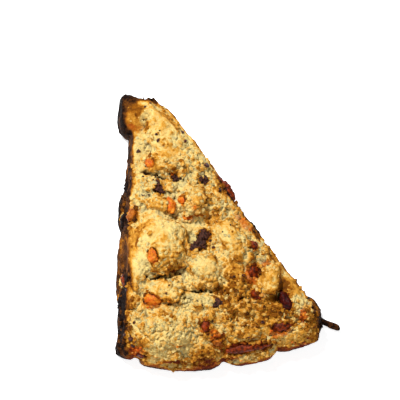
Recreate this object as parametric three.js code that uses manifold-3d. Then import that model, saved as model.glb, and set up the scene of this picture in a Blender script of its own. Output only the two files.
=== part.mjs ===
// A wedge-shaped scone with chocolate chunks and pieces of dried apricot baked into it.
//
// The wedge is one slice of a round that was cut before baking: two nearly plain cut sides that
// meet at a blunt tip, and the outer rim of the round. The dough rose in lumps with cracks between
// them, and its foot spread on the tray. Millimetres, +Z up, the foot on z = 0 and the tip
// towards +Y.

import * as THREE from "three";
import { mergeVertices } from "three/addons/utils/BufferGeometryUtils.js";
import Module from "manifold-3d";

const wasm = await Module();
wasm.setup();

// Driving dimensions of the wedge. Angles run from -Y towards +X, round the point where the two
// cuts would meet.
const APEX = { x: -41.8, y: 70.3 };
const LEFT_CUT = THREE.MathUtils.degToRad(-2.2);
const RIGHT_CUT = THREE.MathUtils.degToRad(36.5);
const TIP_LEFT = 12.6; // apex to the blunt tip, at the left cut
const TIP_RIGHT = 17.8; // the same at the right cut
const TIP_BULGE = 1.9; // how far the tip stands out between its corners
const RIM_LEFT = 121.7; // apex to the rim's shoulder, at the left cut
const RIM_RIGHT = 137.2; // the same at the right cut, where the round spread further
const CORNER = { tipLeft: 2.0, tipRight: 8.0, rimLeft: 2.4, rimRight: 4.5 }; // roundings of the plan
const CORNER_REACH = 12.0; // how far from a cut its bulges and roundings are felt
const RIM_FOLLOW = 0.5; // the share of each lobe of the rim's foot that the shoulder follows

// Heights of the dough above the tray.
const CROWN = 19.3; // between the lumps
const TIP_SINK = 6.0; // how much lower the crown is at the tip
const TIP_SINK_REACH = 34.0;
const CUT_SHOULDER = { drop: 3.0, reach: 4.5 }; // the edge along each cut
const RIM_SHOULDER = { drop: 10.0, reach: 15.0 }; // the rounder edge along the rim
const LOWEST_EDGE = 7.0;
const VALLEY = 1.2; // softness of the crease where two lumps meet
const LUMP_FULLNESS = 0.54; // 0.5 would make each lump half an ellipsoid

// The foot, where the dough spread on the tray.
const FOOT_HEIGHT = 1.1;
const FOOT_ROUNDING = 0.9;
const FLARE_POWER = 1.6; // how low on a side the foot begins to stand out
const WALL_BELLY = 0.7; // how far a side stands out at half its height

// Facets.
const CELL = 1.9;
const WALL_LEVELS = [0.1, 0.24, 0.4, 0.56, 0.72, 0.87];

// Baked-in pieces: their clearance to the dough, their thickness as a share of their width, how
// much of the half thickness stands proud of the top, how deep the middle of one in a side lies,
// and the half length from which one has finer facets.
const GAP = 0.32;
const THICKNESS = 0.85;
const PROUD = { chocolate: 0.45, apricot: 0.3, cherry: 0.4 };
const SIDE_PIECE_SINK = 1.1;
const FINE_NUGGET = 5.0;

// Unevenness: how far each kind moves the surface and how large its bumps are. "layer" is the
// slice of the noise that it is taken from, so that no two kinds run alike.
const WANDER = { amount: 1.1, size: 6.0, layerX: 3, layerY: 29 }; // the outlines of the lumps
const GROUND = { amount: 0.9, size: 7.0, layer: 0 }; // the dough between the lumps
const CRAGS = { amount: 0.7, size: 4.4, layer: 11 };
const CREASES = { amount: 1.2, size: 5.5, layer: 41 };
const WALL_RELIEF = { amount: 1.5, size: 5.0, stretch: 1.6 }; // drawn out along the sides
const NUGGET_RELIEF = { amount: 0.22, frequency: 1.7 }; // as a share of a piece's size
const CRACK_RELIEF = { amount: 0.35, frequency: 2, layer: 5 }; // as a share of a crack's width
const CRACK_END = 0.25; // the share of its width and depth that a crack keeps at its ends

// A lobe stands out along an edge, round in the middle and with a notch at each end; where "out"
// is negative it is a dent. "at" is the distance from the apex on a cut, and degrees on the rim.
const LEFT_LOBES = [{ at: 18.6, half: 11.0, out: 4.9 }];
const RIGHT_LOBES = [
  { at: 34, half: 12, out: 0.2 },
  { at: 61, half: 6, out: -1.2 },
  { at: 75, half: 9, out: -1.5 },
  { at: 90, half: 7, out: -1.0 },
  { at: 105, half: 9, out: -0.7 },
  { at: 118, half: 6, out: -0.5 },
];
const LEFT_FOOT = {
  flare: 0.2,
  lobes: [
    { at: 46, half: 9, out: 0.4 },
    { at: 63, half: 9, out: 3.3 },
    { at: 87, half: 15.5, out: 2.7 },
    { at: 108.5, half: 6.2, out: 1.6 },
    { at: 120.5, half: 4.2, out: 2.2 },
  ],
};
const RIGHT_FOOT = {
  flare: 1.7,
  lobes: [
    { at: 60.5, half: 8, out: 3.5 },
    { at: 74.5, half: 5, out: -1.5 },
    { at: 88, half: 7, out: 2.4 },
    { at: 100, half: 5, out: -1.4 },
    { at: 112, half: 7, out: 0.5 },
    { at: 127, half: 6, out: 3.8 },
  ],
};
const RIM_FOOT = {
  flare: 0.2,
  lobes: [
    { at: -1.5, half: 1.7, out: 2.4 },
    { at: 9.2, half: 7.9, out: 4.1 },
    { at: 22.5, half: 4.7, out: 3.5 },
    { at: 31.8, half: 4.4, out: 3.0 },
  ],
};
const TIP_FOOT = { flare: 0.8, lobes: [] };
const FEET = { left: LEFT_FOOT, rim: RIM_FOOT, right: RIGHT_FOOT, tip: TIP_FOOT };

// The lumps that the dough rose into: place, half length, half width, turn in degrees and height
// of the top.
const LUMPS = [
  // the tip and the bank behind it
  { x: -43.5, y: 47.0, long: 7.0, wide: 8.5, turn: 0, top: 14.5 },
  { x: -32.5, y: 44.0, long: 9.5, wide: 5.5, turn: -42, top: 20.5 },
  { x: -30.0, y: 36.0, long: 11.0, wide: 8.5, turn: -45, top: 22.5 },
  { x: -39.0, y: 33.5, long: 5.5, wide: 7.0, turn: -80, top: 17.5 },
  { x: -19.0, y: 27.0, long: 7.5, wide: 8.5, turn: -50, top: 22 },
  { x: -30.5, y: 26.5, long: 8.5, wide: 5.0, turn: 0, top: 24 },
  // round the chocolate chunks
  { x: -38.0, y: 16.5, long: 5.5, wide: 5.0, turn: 0, top: 22.5 },
  { x: -27.5, y: 16.0, long: 3.5, wide: 3.0, turn: 0, top: 23 },
  { x: -18.0, y: 10.5, long: 7.2, wide: 7.8, turn: 0, top: 26.5 },
  { x: -8.0, y: 10.5, long: 5.0, wide: 8.0, turn: -55, top: 22 },
  { x: -32.0, y: 8.5, long: 7.0, wide: 4.2, turn: 0, top: 25 },
  { x: -43.5, y: 10.0, long: 4.5, wide: 4.5, turn: 0, top: 19.5 },
  // the great lump and its neighbours
  { x: -31.0, y: -8.5, long: 12.2, wide: 13.2, turn: 20, top: 29 },
  { x: -41.5, y: -17.0, long: 5.5, wide: 11.0, turn: 0, top: 23.5 },
  { x: -0.5, y: -7.0, long: 12.5, wide: 6.5, turn: -55, top: 26 },
  { x: -13.0, y: -19.0, long: 8.2, wide: 8.7, turn: 0, top: 26.5 },
  { x: -16.0, y: -12.0, long: 6.0, wide: 4.0, turn: 0, top: 24.5 },
  { x: 0.0, y: -22.5, long: 6.5, wide: 7.0, turn: 0, top: 24 },
  { x: 14.0, y: -22.5, long: 9.0, wide: 5.2, turn: -125, top: 25.5 },
  { x: 12.5, y: -10.0, long: 6.5, wide: 3.5, turn: -55, top: 22 },
  { x: 22.0, y: -24.0, long: 8.5, wide: 4.0, turn: -55, top: 20 },
  // below the long crack
  { x: -28.5, y: -28.5, long: 10.0, wide: 5.0, turn: 0, top: 24 },
  { x: -42.0, y: -26.0, long: 2.6, wide: 2.6, turn: 0, top: 22 },
  { x: -13.0, y: -32.5, long: 8.5, wide: 5.0, turn: 0, top: 22.5 },
  { x: -0.5, y: -34.0, long: 7.5, wide: 5.5, turn: 0, top: 23.5 },
  { x: -40.0, y: -37.5, long: 5.0, wide: 6.5, turn: 0, top: 20.5 },
  { x: 15.5, y: -35.5, long: 6.0, wide: 4.0, turn: 0, top: 21 },
  { x: 31.0, y: -36.0, long: 4.5, wide: 4.0, turn: 0, top: 22 },
  { x: 26.0, y: -31.0, long: 4.0, wide: 5.0, turn: 0, top: 21 },
  // along the rim
  { x: -30.5, y: -45.5, long: 13.0, wide: 9.5, turn: 10, top: 25 },
  { x: 6.0, y: -43.5, long: 8.0, wide: 4.5, turn: 8, top: 22.5 },
  { x: -10.0, y: -44.0, long: 7.0, wide: 5.5, turn: 0, top: 21 },
  { x: 28.0, y: -43.5, long: 7.0, wide: 4.0, turn: 28, top: 22.5 },
  { x: -12.5, y: -52.5, long: 6.0, wide: 4.0, turn: 10, top: 23 },
  { x: -40.0, y: -51.0, long: 4.5, wide: 4.0, turn: 0, top: 22 },
  { x: -26.0, y: -55.5, long: 6.5, wide: 3.5, turn: -5, top: 23.5 },
  { x: 1.0, y: -54.0, long: 5.0, wide: 2.8, turn: 10, top: 22.5 },
  { x: 14.5, y: -40.5, long: 4.0, wide: 3.0, turn: 0, top: 21 },
  { x: -3.5, y: -40.0, long: 3.5, wide: 3.0, turn: 0, top: 21.5 },
  { x: 16.5, y: -46.0, long: 5.0, wide: 2.8, turn: 12, top: 22 },
];

// Cracks: the points that each follows, its width at the surface and its depth.
const CRACKS = [
  {
    path: [
      [-29.5, -24.0],
      [-26.0, -25.4],
      [-22.5, -25.8],
      [-17.5, -27.0],
      [-12.5, -27.6],
      [-7.5, -27.2],
    ],
    width: 1.0,
    depth: 3.0,
  },
  {
    path: [
      [-22.5, -26.2],
      [-25.0, -28.6],
      [-26.0, -31.0],
      [-29.5, -32.2],
    ],
    width: 0.8,
    depth: 2.2,
  },
  {
    path: [
      [-6.5, -28.4],
      [-1.0, -29.6],
      [4.0, -27.6],
    ],
    width: 1.1,
    depth: 2.6,
  },
  {
    path: [
      [-41.5, 21.2],
      [-36.5, 21.8],
      [-31.5, 20.6],
      [-27.5, 19.0],
    ],
    width: 0.9,
    depth: 2.4,
  },
  {
    path: [
      [-38.0, -20.5],
      [-33.5, -20.6],
      [-28.5, -19.6],
      [-25.6, -19.4],
    ],
    width: 1.0,
    depth: 2.6,
  },
];

// The hole in the left bank, where the dough tore open.
const TEAR = { x: -43.6, y: -1.4, z: 19.5, long: 2.3, wide: 0.9, deep: 2.4 };

// The thin run of dough that baked onto the tray beside the right corner.
const RUNNEL = {
  from: { x: 35.5, y: -34.8 },
  to: { x: 48.6, y: -39.7 },
  root: 1.8,
  end: 1.2,
};

// Pieces that show in the top: place, half length, half width and turn in degrees.
const CHOCOLATE = "chocolate";
const APRICOT = "apricot";
const CHERRY = "cherry";
const TOP_PIECES = [
  { name: "chocolate_long", kind: CHOCOLATE, x: -33.0, y: 15.8, long: 3.6, wide: 1.8, turn: -58 },
  { name: "chocolate_upper", kind: CHOCOLATE, x: -25.0, y: 20.0, long: 2.1, wide: 1.9, turn: 30 },
  { name: "chocolate_right", kind: CHOCOLATE, x: -13.4, y: 19.0, long: 1.7, wide: 1.4, turn: 0 },
  { name: "chocolate_great_upper", kind: CHOCOLATE, x: -13.2, y: -4.2, long: 3.0, wide: 2.5, turn: 65 },
  { name: "chocolate_great_lower", kind: CHOCOLATE, x: -16.6, y: -9.2, long: 3.6, wide: 1.9, turn: 20 },
  { name: "chocolate_shelf", kind: CHOCOLATE, x: -8.0, y: -33.0, long: 2.0, wide: 1.8, turn: 0 },
  { name: "cherry_right", kind: CHERRY, x: 21.0, y: -31.5, long: 4.2, wide: 2.2, turn: -62 },
  { name: "apricot_tip", kind: APRICOT, x: -36.5, y: 25.7, long: 2.1, wide: 1.9, turn: 70 },
  { name: "apricot_ledge", kind: APRICOT, x: -28.0, y: 7.5, long: 3.7, wide: 1.7, turn: -75 },
  { name: "apricot_round", kind: APRICOT, x: -23.0, y: 9.6, long: 1.7, wide: 1.6, turn: 0 },
  { name: "apricot_under_gold", kind: APRICOT, x: -20.5, y: 3.5, long: 2.0, wide: 1.4, turn: -20 },
  { name: "apricot_great", kind: APRICOT, x: -35.5, y: -13.5, long: 3.8, wide: 2.2, turn: -80 },
  { name: "apricot_left", kind: APRICOT, x: -43.0, y: 4.2, long: 3.6, wide: 1.9, turn: 55 },
  { name: "apricot_crumbled", kind: APRICOT, x: -35.0, y: -31.6, long: 3.6, wide: 2.7, turn: 0 },
  { name: "apricot_right_small", kind: APRICOT, x: 6.5, y: -8.5, long: 1.8, wide: 1.6, turn: 0 },
  { name: "apricot_right", kind: APRICOT, x: 7.0, y: -18.5, long: 3.4, wide: 2.5, turn: -70 },
  { name: "apricot_right_low", kind: APRICOT, x: 8.5, y: -29.0, long: 2.7, wide: 1.8, turn: -20 },
  { name: "apricot_corner", kind: APRICOT, x: 19.5, y: -41.0, long: 4.6, wide: 2.4, turn: 8 },
  { name: "apricot_middle", kind: APRICOT, x: -13.0, y: -42.0, long: 3.1, wide: 1.9, turn: -75 },
  { name: "apricot_rim", kind: APRICOT, x: 6.5, y: -49.4, long: 10.4, wide: 2.5, turn: 12 },
  { name: "apricot_middle_low", kind: APRICOT, x: -7.5, y: -46.8, long: 3.4, wide: 2.1, turn: 60 },
];

// Pieces that show in a side: which edge of the plan, how far along it (the distance from the apex
// on a cut, degrees on the rim), the height of the middle, half length, half width, half thickness
// and the tilt of the long axis.
const SIDE_PIECES = [
  {
    name: "apricot_rim_left",
    kind: APRICOT,
    edge: "rim",
    at: 1.2,
    z: 9.0,
    long: 2.9,
    wide: 2.0,
    thick: 1.9,
    tilt: 20,
  },
  {
    name: "apricot_side_right",
    kind: APRICOT,
    edge: "right",
    at: 66,
    z: 12.5,
    long: 5.8,
    wide: 1.8,
    thick: 2.0,
    tilt: 0,
  },
  {
    name: "apricot_side_left",
    kind: APRICOT,
    edge: "left",
    at: 93,
    z: 10.5,
    long: 3.8,
    wide: 2.1,
    thick: 1.8,
    tilt: 15,
  },
  {
    name: "chocolate_side_upper",
    kind: CHOCOLATE,
    edge: "left",
    at: 53,
    z: 9.0,
    long: 3.6,
    wide: 2.2,
    thick: 1.8,
    tilt: -20,
  },
  {
    name: "chocolate_side_middle",
    kind: CHOCOLATE,
    edge: "left",
    at: 67,
    z: 8.0,
    long: 2.6,
    wide: 2.0,
    thick: 1.8,
    tilt: 0,
  },
  {
    name: "chocolate_side_low",
    kind: CHOCOLATE,
    edge: "left",
    at: 101,
    z: 7.5,
    long: 3.4,
    wide: 2.4,
    thick: 2.0,
    tilt: 10,
  },
];

const MATERIALS = {
  dough: { color: 0xd9b36a, roughness: 0.85 },
  [CHOCOLATE]: { color: 0x2c1512, roughness: 0.45 },
  [APRICOT]: { color: 0xc9631b, roughness: 0.4 },
  [CHERRY]: { color: 0x3d0c0e, roughness: 0.4 },
};

// Large whole numbers that scatter the bits of a lattice point.
const SCATTER = { i: 374761393, j: 668265263, k: 873357470, first: 1274126177, last: 2246822519 };
const LARGEST_UINT = 4294967295;

// A repeatable number from 0 to 1 for each point of a whole-number lattice.
function lattice(i, j, k) {
  let h = Math.imul(i, SCATTER.i) ^ Math.imul(j, SCATTER.j) ^ Math.imul(k, SCATTER.k);
  h = Math.imul(h ^ (h >>> 13), SCATTER.first);
  h = Math.imul(h ^ (h >>> 16), SCATTER.last);
  return ((h ^ (h >>> 15)) >>> 0) / LARGEST_UINT;
}

// Smooth noise from -1 to 1, with bumps about one unit across.
function noise(x, y, z) {
  const [i, j, k] = [Math.floor(x), Math.floor(y), Math.floor(z)];
  const ease = (t) => t * t * (3 - 2 * t);
  const [u, v, w] = [ease(x - i), ease(y - j), ease(z - k)];
  const mix = THREE.MathUtils.lerp;
  const row = (dj, dk) => mix(lattice(i, j + dj, k + dk), lattice(i + 1, j + dj, k + dk), u);
  return 2 * mix(mix(row(0, 0), row(1, 0), v), mix(row(0, 1), row(1, 1), v), w) - 1;
}

// Two scales of noise, for relief that is "size" millimetres across and its half.
function relief(x, y, z, size) {
  const s = 1 / size;
  return (2 * noise(x * s, y * s, z * s) + noise(2 * x * s + 17, 2 * y * s, 2 * z * s)) / 3;
}

// The larger of two heights, with a soft crease between them.
function softMax(a, b, soft) {
  const near = Math.max(soft - Math.abs(a - b), 0) / soft;
  return Math.max(a, b) + (near * near * soft) / 4;
}

// How far a set of lobes stands out at a place along its edge.
function lobesAt(lobes, at) {
  return lobes.reduce((most, lobe) => {
    const u = Math.min(Math.abs(at - lobe.at) / lobe.half, 1);
    const out = lobe.out * Math.sqrt(1 - u ** 4);
    return Math.abs(out) > Math.abs(most) ? out : most;
  }, 0);
}

// How far a rounded corner of that radius has come in, "left" short of the corner's end.
function cornerInset(left, radius) {
  const u = 1 - Math.min(Math.max(left / radius, 0), 1);
  return radius * (1 - Math.sqrt(1 - u * u));
}

// How far from the apex the blunt tip begins, from the left cut to the right one.
function tipStart(across) {
  const bulge = TIP_BULGE * Math.sin(Math.PI * across);
  return THREE.MathUtils.lerp(TIP_LEFT, TIP_RIGHT, across) - bulge;
}

// How far from the apex the rim's shoulder lies.
function rimReach(across) {
  const degrees = THREE.MathUtils.radToDeg(THREE.MathUtils.lerp(LEFT_CUT, RIGHT_CUT, across));
  const plain = THREE.MathUtils.lerp(RIM_LEFT, RIM_RIGHT, across);
  return plain + RIM_FOLLOW * lobesAt(RIM_FOOT.lobes, degrees);
}

// A place on the shoulder plan: "along" runs from the tip to the rim, "across" from the left cut to
// the right one, both from 0 to 1.
function shoulderPlan(along, across) {
  const angle = THREE.MathUtils.lerp(LEFT_CUT, RIGHT_CUT, across);
  const start = tipStart(across);
  const reach = rimReach(across);
  const r = THREE.MathUtils.lerp(start, reach, along);
  const width = r * (RIGHT_CUT - LEFT_CUT);
  const near = (gap) => Math.max(1 - gap / CORNER_REACH, 0) ** 2;
  const inset = (tip, rim) => cornerInset(r - start, tip) + cornerInset(reach - r, rim);
  const leftOut = lobesAt(LEFT_LOBES, r) - inset(CORNER.tipLeft, CORNER.rimLeft);
  const rightOut = lobesAt(RIGHT_LOBES, r) - inset(CORNER.tipRight, CORNER.rimRight);
  const left = leftOut * near(across * width);
  const right = rightOut * near((1 - across) * width);
  return {
    x: APEX.x + r * Math.sin(angle) - left * Math.cos(LEFT_CUT) + right * Math.cos(RIGHT_CUT),
    y: APEX.y - r * Math.cos(angle) - left * Math.sin(-LEFT_CUT) + right * Math.sin(RIGHT_CUT),
    r,
    degrees: THREE.MathUtils.radToDeg(angle),
  };
}

// How much the dough falls away towards the cuts and the rim at a place.
function shoulderDrop(x, y) {
  const dx = x - APEX.x;
  const dy = APEX.y - y;
  const r = Math.hypot(dx, dy);
  const angle = Math.atan2(dx, dy);
  const across = (angle - LEFT_CUT) / (RIGHT_CUT - LEFT_CUT);
  const toLeft = r * Math.sin(angle - LEFT_CUT) + lobesAt(LEFT_LOBES, r);
  const toRight = r * Math.sin(RIGHT_CUT - angle) + lobesAt(RIGHT_LOBES, r);
  const toRim = rimReach(across) - r;
  const toTip = r - tipStart(across);
  const fall = (gap, shoulder) =>
    shoulder.drop * THREE.MathUtils.clamp(1 - gap / shoulder.reach, 0, 1) ** 2;
  return (
    fall(toLeft, CUT_SHOULDER) +
    fall(toRight, CUT_SHOULDER) +
    fall(toRim, RIM_SHOULDER) +
    fall(toTip, CUT_SHOULDER)
  );
}

// The height of one lump over a place, where it stands on dough of that height.
function lumpHeight(lump, x, y, ground) {
  const turn = THREE.MathUtils.degToRad(lump.turn);
  const [dx, dy] = [x - lump.x, y - lump.y];
  const a = (dx * Math.cos(turn) + dy * Math.sin(turn)) / lump.long;
  const b = (dy * Math.cos(turn) - dx * Math.sin(turn)) / lump.wide;
  const rise = Math.max(1 - a * a - b * b, 0) ** LUMP_FULLNESS;
  return ground + (lump.top - ground) * rise;
}

// The height of the top of the dough over a place.
function topHeight(x, y) {
  const fromTip = Math.hypot(x - APEX.x, y - APEX.y) - TIP_LEFT;
  const sink = TIP_SINK * THREE.MathUtils.clamp(1 - fromTip / TIP_SINK_REACH, 0, 1);
  // the lumps' edges wander a little, so that none is a plain oval
  const wx = x + WANDER.amount * relief(x, y, WANDER.layerX, WANDER.size);
  const wy = y + WANDER.amount * relief(x, y, WANDER.layerY, WANDER.size);
  const ground = CROWN - sink + GROUND.amount * relief(x, y, GROUND.layer, GROUND.size);
  let z = ground;
  for (const lump of LUMPS) z = softMax(z, lumpHeight(lump, wx, wy, ground), VALLEY);
  const crags = CRAGS.amount * relief(x, y, CRAGS.layer, CRAGS.size);
  const creases = CREASES.amount * Math.abs(relief(x, y, CREASES.layer, CREASES.size));
  return Math.max(z + crags - creases - shoulderDrop(x, y), LOWEST_EDGE);
}

// Joins two rows of numbered points that run the same way, with their faces up.
function stitch(faces, near, far) {
  let [i, j] = [0, 0];
  while (i < near.length - 1 || j < far.length - 1) {
    const nearNext = (i + 1) / (near.length - 1);
    const farNext = (j + 1) / (far.length - 1);
    if (j === far.length - 1 || (i < near.length - 1 && nearNext <= farNext)) {
      faces.push(near[i], far[j], near[i + 1]);
      i += 1;
    } else {
      faces.push(near[i], far[j], far[j + 1]);
      j += 1;
    }
  }
}

// The outward direction at each point of a loop that runs anticlockwise, evened out along it.
function loopNormals(loop) {
  const n = loop.length;
  const raw = loop.map((_, i) => {
    const [a, b] = [loop[(i + n - 2) % n], loop[(i + 2) % n]];
    return new THREE.Vector2(b.y - a.y, a.x - b.x).normalize();
  });
  return raw.map((_, i) => {
    const sum = new THREE.Vector2();
    for (let k = -3; k <= 3; k += 1) sum.add(raw[(i + k + n) % n]);
    return sum.normalize();
  });
}

// How far the foot stands out beyond the shoulder at a place on the plan's edge.
function footFlare(p) {
  const foot = FEET[p.edge];
  if (p.edge !== "rim") return foot.flare + lobesAt(foot.lobes, p.r);
  return foot.flare + (1 - RIM_FOLLOW) * lobesAt(foot.lobes, p.degrees);
}

// How far a side stands out beyond the shoulder, some of the way down to the foot.
function sideOut(p, flare, level, z) {
  const { amount, size, stretch } = WALL_RELIEF;
  const belly = WALL_BELLY + amount * relief(p.x, p.y, stretch * z, size);
  return flare * level ** FLARE_POWER + Math.sin(Math.PI * level) * belly;
}

// The dough before anything is cut from it: the lumpy top as a grid of rows, the sides as rings
// that go down from its edge, and a flat foot.
function doughGeometry() {
  const points = [];
  const faces = [];
  const add = (x, y, z) => points.push(x, y, z) / 3 - 1;

  const rowCount = Math.round((RIM_LEFT + RIM_RIGHT - TIP_LEFT - TIP_RIGHT) / 2 / CELL);
  const rows = [];
  for (let i = 0; i <= rowCount; i += 1) {
    const along = i / rowCount;
    const r = THREE.MathUtils.lerp(TIP_LEFT + TIP_RIGHT, RIM_LEFT + RIM_RIGHT, along) / 2;
    const columns = Math.max(6, Math.round((r * (RIGHT_CUT - LEFT_CUT)) / CELL));
    const row = [];
    for (let j = 0; j <= columns; j += 1) {
      const p = shoulderPlan(along, j / columns);
      row.push({ ...p, index: add(p.x, p.y, topHeight(p.x, p.y)) });
    }
    rows.push(row);
  }
  for (let i = 0; i < rowCount; i += 1) {
    stitch(faces, rows[i].map((p) => p.index), rows[i + 1].map((p) => p.index));
  }

  const last = rows[rowCount];
  const loop = [
    ...rows.slice(0, rowCount).map((row) => ({ ...row[0], edge: "left" })),
    ...last.map((p) => ({ ...p, edge: "rim" })),
    ...rows.slice(0, rowCount).reverse().map((row) => ({ ...row.at(-1), edge: "right" })),
    ...rows[0].slice(1, -1).reverse().map((p) => ({ ...p, edge: "tip" })),
  ];
  const normals = loopNormals(loop);
  const raw = loop.map(footFlare);
  const n = loop.length;
  const flares = raw.map((f, i) => (raw[(i + n - 1) % n] + 2 * f + raw[(i + 1) % n]) / 4);
  const shoulder = loop.map((p) => points[3 * p.index + 2]);

  let above = loop.map((p) => p.index);
  const addRing = (heightAt, outAt) => {
    const ring = loop.map((p, i) => {
      const z = heightAt(i);
      const out = outAt(i, z);
      return add(p.x + normals[i].x * out, p.y + normals[i].y * out, z);
    });
    ring.forEach((_, i) => {
      const next = (i + 1) % ring.length;
      faces.push(above[i], ring[i], above[next], above[next], ring[i], ring[next]);
    });
    above = ring;
    return ring;
  };
  for (const level of WALL_LEVELS) {
    addRing(
      (i) => THREE.MathUtils.lerp(shoulder[i], FOOT_HEIGHT, level),
      (i, z) => sideOut(loop[i], flares[i], level, z),
    );
  }
  addRing(() => FOOT_HEIGHT, (i) => flares[i]);
  const foot = addRing(() => 0, (i) => flares[i] - FOOT_ROUNDING);
  const outline = foot.map((i) => new THREE.Vector2(points[3 * i], points[3 * i + 1]));
  for (const [a, b, c] of THREE.ShapeUtils.triangulateShape(outline, [])) {
    faces.push(foot[a], foot[c], foot[b]);
  }

  const geometry = new THREE.BufferGeometry();
  geometry.setAttribute("position", new THREE.Float32BufferAttribute(points, 3));
  geometry.setIndex(faces);
  return geometry;
}

// A closed geometry as a solid that can be cut and joined.
function solidOf(geometry) {
  const bare = geometry.clone();
  for (const name of ["normal", "uv"]) bare.deleteAttribute(name);
  const merged = mergeVertices(bare, 1e-4);
  return new wasm.Manifold(
    new wasm.Mesh({
      numProp: 3,
      vertProperties: new Float32Array(merged.attributes.position.array),
      triVerts: new Uint32Array(merged.index.array),
    }),
  );
}

// A solid as a geometry with plain facets.
function geometryOf(solid) {
  const mesh = solid.getMesh();
  const geometry = new THREE.BufferGeometry();
  geometry.setAttribute("position", new THREE.Float32BufferAttribute(mesh.vertProperties, 3));
  geometry.setIndex(new THREE.BufferAttribute(mesh.triVerts, 1));
  geometry.computeVertexNormals();
  return geometry;
}

// A V-shaped trench along a crack's path, from above the surface down to the crack's bottom. It
// narrows to nothing at both ends.
function trenchGeometry({ path, width, depth }) {
  const curve = new THREE.CatmullRomCurve3(path.map(([x, y]) => new THREE.Vector3(x, y, 0)));
  const steps = 3 * path.length;
  const points = [];
  const faces = [];
  const over = 1.2; // clear of the surface
  for (let i = 0; i <= steps; i += 1) {
    const p = curve.getPoint(i / steps);
    const t = curve.getTangent(i / steps);
    const fade = CRACK_END + (1 - CRACK_END) * Math.sin((Math.PI * i) / steps);
    const { amount, frequency, layer } = CRACK_RELIEF;
    const uneven = 1 + amount * noise(frequency * p.x, frequency * p.y, layer);
    const half = (width / 2) * fade * uneven;
    const z = topHeight(p.x, p.y);
    points.push(p.x - t.y * half, p.y + t.x * half, z + over);
    points.push(p.x + t.y * half, p.y - t.x * half, z + over);
    points.push(p.x, p.y, z - depth * fade);
  }
  for (let i = 0; i < steps; i += 1) {
    const [l, r, b] = [3 * i, 3 * i + 1, 3 * i + 2];
    faces.push(l, r, r + 3, l, r + 3, l + 3);
    faces.push(r, b, b + 3, r, b + 3, r + 3);
    faces.push(b, l, l + 3, b, l + 3, b + 3);
  }
  const end = 3 * steps;
  faces.push(0, 2, 1, end, end + 1, end + 2);
  const geometry = new THREE.BufferGeometry();
  geometry.setAttribute("position", new THREE.Float32BufferAttribute(points, 3));
  geometry.setIndex(faces);
  return geometry;
}

// The thin run of dough on the tray: a tapered drop that lies on its side.
function runnelGeometry({ from, to, root, end }) {
  const length = Math.hypot(to.x - from.x, to.y - from.y);
  const steps = 9;
  const radiusAt = (u) => {
    const closing = Math.sqrt(Math.max(1 - (2 * u - 1) ** 8, 0));
    return THREE.MathUtils.lerp(root, end, u) * (1 + 0.14 * Math.sin(8 * u + 1)) * closing;
  };
  const profile = [];
  for (let i = 0; i <= steps; i += 1) {
    const u = i / steps;
    const onAxis = i === 0 || i === steps;
    profile.push(new THREE.Vector2(onAxis ? 0 : radiusAt(u), u * length));
  }
  const geometry = new THREE.LatheGeometry(profile, 10);
  geometry.rotateZ(-Math.PI / 2);
  const position = geometry.attributes.position;
  for (let i = 0; i < position.count; i += 1) {
    // down on the tray, all the way to its thin end
    position.setZ(i, position.getZ(i) + radiusAt(position.getX(i) / length));
  }
  geometry.rotateZ(Math.atan2(to.y - from.y, to.x - from.x));
  return geometry.translate(from.x, from.y, 0);
}

// Where a piece lies in a side, and the turn about +Z that sets its long axis along the side.
function sideSpot({ edge, at, z }) {
  const degrees = THREE.MathUtils.degToRad(at);
  const across = { left: 0, right: 1, rim: (degrees - LEFT_CUT) / (RIGHT_CUT - LEFT_CUT) }[edge];
  const start = tipStart(across);
  const reach = rimReach(across);
  const along = edge === "rim" ? 1 : (at - start) / (reach - start);
  const step = 0.02;
  const p = { ...shoulderPlan(along, across), edge };
  const [a, b] =
    edge === "rim"
      ? [shoulderPlan(1, across - step), shoulderPlan(1, across + step)]
      : [shoulderPlan(along - step, across), shoulderPlan(along + step, across)];
  const heading = Math.atan2(b.y - a.y, b.x - a.x);
  const outward = edge === "right" ? heading + Math.PI / 2 : heading - Math.PI / 2;
  const shoulder = topHeight(p.x, p.y);
  const level = (shoulder - z) / (shoulder - FOOT_HEIGHT);
  const out = sideOut(p, footFlare(p), level, z) - SIDE_PIECE_SINK;
  return {
    x: p.x + Math.cos(outward) * out,
    y: p.y + Math.sin(outward) * out,
    z,
    turn: THREE.MathUtils.radToDeg(heading),
  };
}

// A baked-in nugget: a ball pulled out of shape, about the origin. In a side it stands on edge.
function nuggetGeometry({ long, wide, thick, turn, edge, tilt = 0, grow = 0, seed }) {
  const geometry = new THREE.IcosahedronGeometry(1, long > FINE_NUGGET ? 2 : 1);
  const position = geometry.attributes.position;
  const { amount, frequency } = NUGGET_RELIEF;
  const v = new THREE.Vector3();
  for (let i = 0; i < position.count; i += 1) {
    v.fromBufferAttribute(position, i);
    const size = 1 + amount * noise(frequency * v.x + seed, frequency * v.y, frequency * v.z);
    const [a, b, c] = [long, wide, thick].map((half) => size * half + grow);
    position.setXYZ(i, v.x * a, v.y * b, v.z * c);
  }
  if (edge) geometry.rotateZ(THREE.MathUtils.degToRad(tilt)).rotateX(Math.PI / 2);
  return geometry.rotateZ(THREE.MathUtils.degToRad(turn));
}

// Where a baked-in piece lies, with its thickness filled in.
function placed(piece, seed) {
  if (piece.edge) return { ...piece, ...sideSpot(piece), seed };
  const thick = THICKNESS * piece.wide;
  const z = topHeight(piece.x, piece.y) - thick * (1 - PROUD[piece.kind]);
  return { ...piece, thick, z, seed };
}

// A baked-in piece, or with "grow" the pocket that it sits in.
function pieceGeometry(piece, grow = 0) {
  return nuggetGeometry({ ...piece, grow }).translate(piece.x, piece.y, piece.z);
}

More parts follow.
